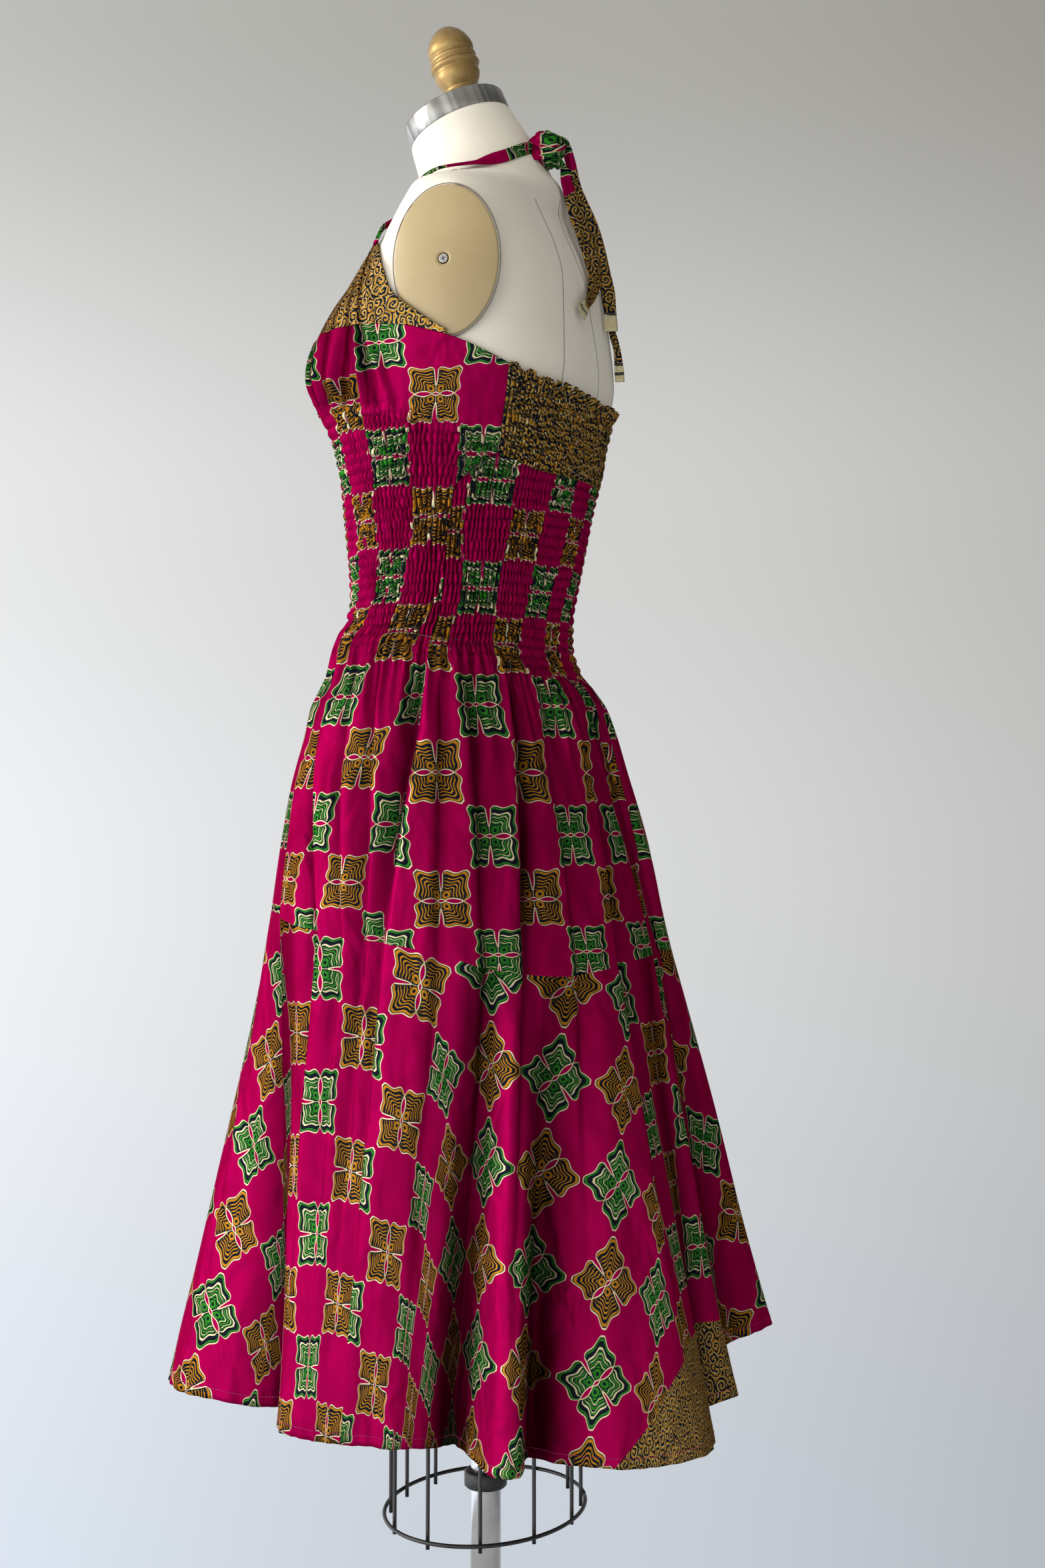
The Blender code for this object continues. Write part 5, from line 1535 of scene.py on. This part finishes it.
def colour_tail(tail, length):
    """Flowers at a tail's head, and at its end the cream selvedge between two black lines."""
    for material in (TIP, BLACK_PLASTIC, FLOWERS):
        tail.data.materials.append(material)
    for number, face in enumerate(tail.data.polygons):
        done = length[min(number // STRIP_SIDES, len(length) - 1)]
        left = length[-1] - done
        if done < TIE_HEAD:
            face.material_index = 3
        if left < TIE_TIP:
            face.material_index = 1
        if min(abs(left - TIE_TIP * 0.45), abs(left - TIE_TIP)) < 0.0006:
            face.material_index = 2


def build_strap(side, word):
    """Strap that lies flat on the form, from the yoke over the shoulder to the knot."""
    stations = []
    for k, (degrees, z, off) in enumerate(STRAP):
        place = form_point(degrees, z)
        ahead = form_point(degrees + 1.0, z) - form_point(degrees - 1.0, z)
        rise = form_point(degrees, z + 0.002) - form_point(degrees, z - 0.002)
        normal = unit(np.cross(ahead, rise))
        if normal @ np.array([place[0], place[1], 0.3 * (z - 1.4)]) < 0:
            normal = -normal
        before = STRAP[max(k - 1, 0)]
        after = STRAP[min(k + 1, len(STRAP) - 1)]
        along = form_point(after[0], after[1]) - form_point(before[0], before[1])
        across = unit(np.cross(normal, along))
        x, y, z = place + normal * off
        width = STRAP_WIDTH * (0.8 if k == 0 else 1.0)
        stations.append((x * side, y, z, across[0] * side, across[1], width, across[2]))
    strap, length = band("dress_strap_" + word, stations, FLOWERS)
    declare_tie(strap, float(length[-1]), STRAP_CUT, "printed_cotton", "strap_" + word)


def build_tail(word, stations, width):
    """Tie end that hangs from the knot."""
    tail, length = band("dress_tie_" + word, [(*station, 0.0) for station in stations], BORDER)
    colour_tail(tail, length)
    declare_tie(tail, float(length[-1]), width, "border_cotton", "tie_tail_" + word)


def build_knot():
    """Knot at the nape: a creased lump with one turn of the strap round it."""
    lat = np.linspace(-0.5 * math.pi + 0.02, 0.5 * math.pi - 0.02, 40)
    lon, lat = np.meshgrid(np.arange(64) * math.tau / 64, lat)
    x = np.cos(lat) * np.cos(lon)
    y = np.cos(lat) * np.sin(lon)
    z = np.sin(lat)
    spiral = np.cos(5.0 * (lon + 1.6 * z) + 2.0 * np.sin(2.0 * z))
    size = 1.0 + 0.06 * np.sign(spiral) * np.abs(spiral) ** 0.7
    size = size + 0.05 * np.sin(5.0 * x + 2.0 * z) * np.cos(4.0 * z - 3.0 * y)
    points = np.stack([x, y, z], -1) * KNOT_RADII * size[..., None] * 0.94 + KNOT
    cloth = np.stack([0.048 * lon / math.tau, 0.012 * lat], -1)
    knot = grid_object("dress_knot", points, cloth, FLOWERS, closed=True)
    stands_for(knot, "printed_cotton", "neck_knot")

    t = np.arange(49)[:, None] * math.tau / 48
    x = (KNOT_RADII[0] * 0.98 + 0.0006) * np.cos(t)
    y = (KNOT_RADII[1] * 0.98 + 0.0006) * np.sin(t)
    k = np.arange(14)[None, :]
    around = k * math.tau / 14
    swell = 0.0009 * np.cos(around) / np.hypot(x, y)
    rise = 0.0042 * np.sin(around) - KNOT_LEAN * x
    points = np.stack([x * (1 + swell), y * (1 + swell), rise], -1) + KNOT
    cloth = np.stack(np.broadcast_arrays(k * 0.0008, t * 0.011), -1)
    turn = grid_object("dress_knot_turn", points, cloth, FLOWERS, closed=True)
    stands_for(turn, "printed_cotton")


def build_dress():
    """All the cloth."""
    build_knot()
    for side, word in SIDES:
        build_yoke(side, word)
    build_bodice()
    build_midriff("front", 104, SHIRR_FRONT, 1.2420, 0.15)
    build_midriff("back", 92, SHIRR_BACK, 1.2198, 0.0)
    build_panel()
    build_upper_skirt("front", 561, SHIRR_FRONT)
    build_upper_skirt("back", 449, SHIRR_BACK)
    front_hem = build_lower_skirt("front", 401, TURN_FRONT, 70.0, FLOWERS, 0.026)
    back_hem = build_lower_skirt("back", 361, TURN_BACK, 114.7, HEM_CLOTH, 0.0)
    stitches("dress_hem_stitches_front", *front_hem)
    stitches("dress_hem_stitches_back", *back_hem)
    for side, word in SIDES:
        build_strap(side, word)
    build_tail("near", NEAR_TAIL, 0.0150)
    build_tail("outer", OUTER_TAIL, 0.0125)
    build_tail("thin", THIN_TAIL, 0.0100)


# Stage, lights and camera
def build_stage():
    """Pale round floor under the stand."""
    n = Surface("pale_stage", 0.85, 0.0, 0.2, (0.62, 0.63, 0.64))
    speck = n.noise(n.coordinates("Object"), 6.0, 4.0, 0.6)
    tone = n.ramp(speck, ((0.3, (0.58, 0.59, 0.60)), (0.7, (0.64, 0.65, 0.66))))
    profile = ((0.0, -0.0004), (0.82, -0.0004), (0.85, -0.003), (0.85, -0.04), (0.0, -0.04))
    lathe("floor", profile, 128, n.finish(tone, 0.85))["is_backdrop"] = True


def build_surroundings():
    """Pale room, brightest towards the window and darker upwards and away from it."""
    world = bpy.data.worlds.new("pale_room")
    world.use_nodes = True
    n = Nodes(world.node_tree)
    direction = n.coordinates("Generated")
    colour = None
    for side, stops in ((WINDOW_SIDE, TONE_TO_WINDOW), (WALL_SIDE, TONE_TO_WALL), (UPWARDS, TONE_UPWARDS)):
        share = n.vector("DOT_PRODUCT", direction, side, gives="Value") * 0.5 + 0.5
        tone = n.ramp(share, stops, "EASE")
        colour = n.mix(1.0, colour, tone, "MULTIPLY") if colour else tone
    background = world.node_tree.nodes["Background"]
    n.put(background.inputs["Color"], colour)
    n.put(background.inputs["Strength"], ROOM_STRENGTH)
    bpy.context.scene.world = world


def aimed(name, data, place, towards):
    """Object at a place that looks in a direction."""
    ob = bpy.data.objects.new(name, data)
    ob.location = place
    ob.rotation_euler = towards.to_track_quat("-Z", "Y").to_euler()
    bpy.context.scene.collection.objects.link(ob)
    return ob


def build_window():
    """Soft window light from the picture's left, which the camera doesn't see."""
    data = bpy.data.lights.new("window", "AREA")
    data.shape = "RECTANGLE"
    data.size, data.size_y = WINDOW_SIZE
    data.energy = WINDOW_POWER
    data.color = WINDOW_COLOUR
    window = aimed("window", data, WINDOW_PLACE, Vector(WINDOW_AIM) - Vector(WINDOW_PLACE))
    window.visible_camera = False


def build_camera():
    """Camera at the photo's place."""
    data = bpy.data.cameras.new("camera")
    data.lens = CAMERA_LENS
    data.sensor_width = CAMERA_SENSOR
    bpy.context.scene.camera = aimed("camera", data, CAMERA_PLACE, Vector(CAMERA_TOWARDS))


build_camera()
build_stage()
build_surroundings()
build_window()
build_form()
build_base()
build_pole()
build_cage()
build_dress()
bpy.context.scene.view_settings.view_transform = "Standard"

low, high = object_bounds()
{"cad": [list(cad_low), list(cad_high)], "visual": [list(low), list(high)]}
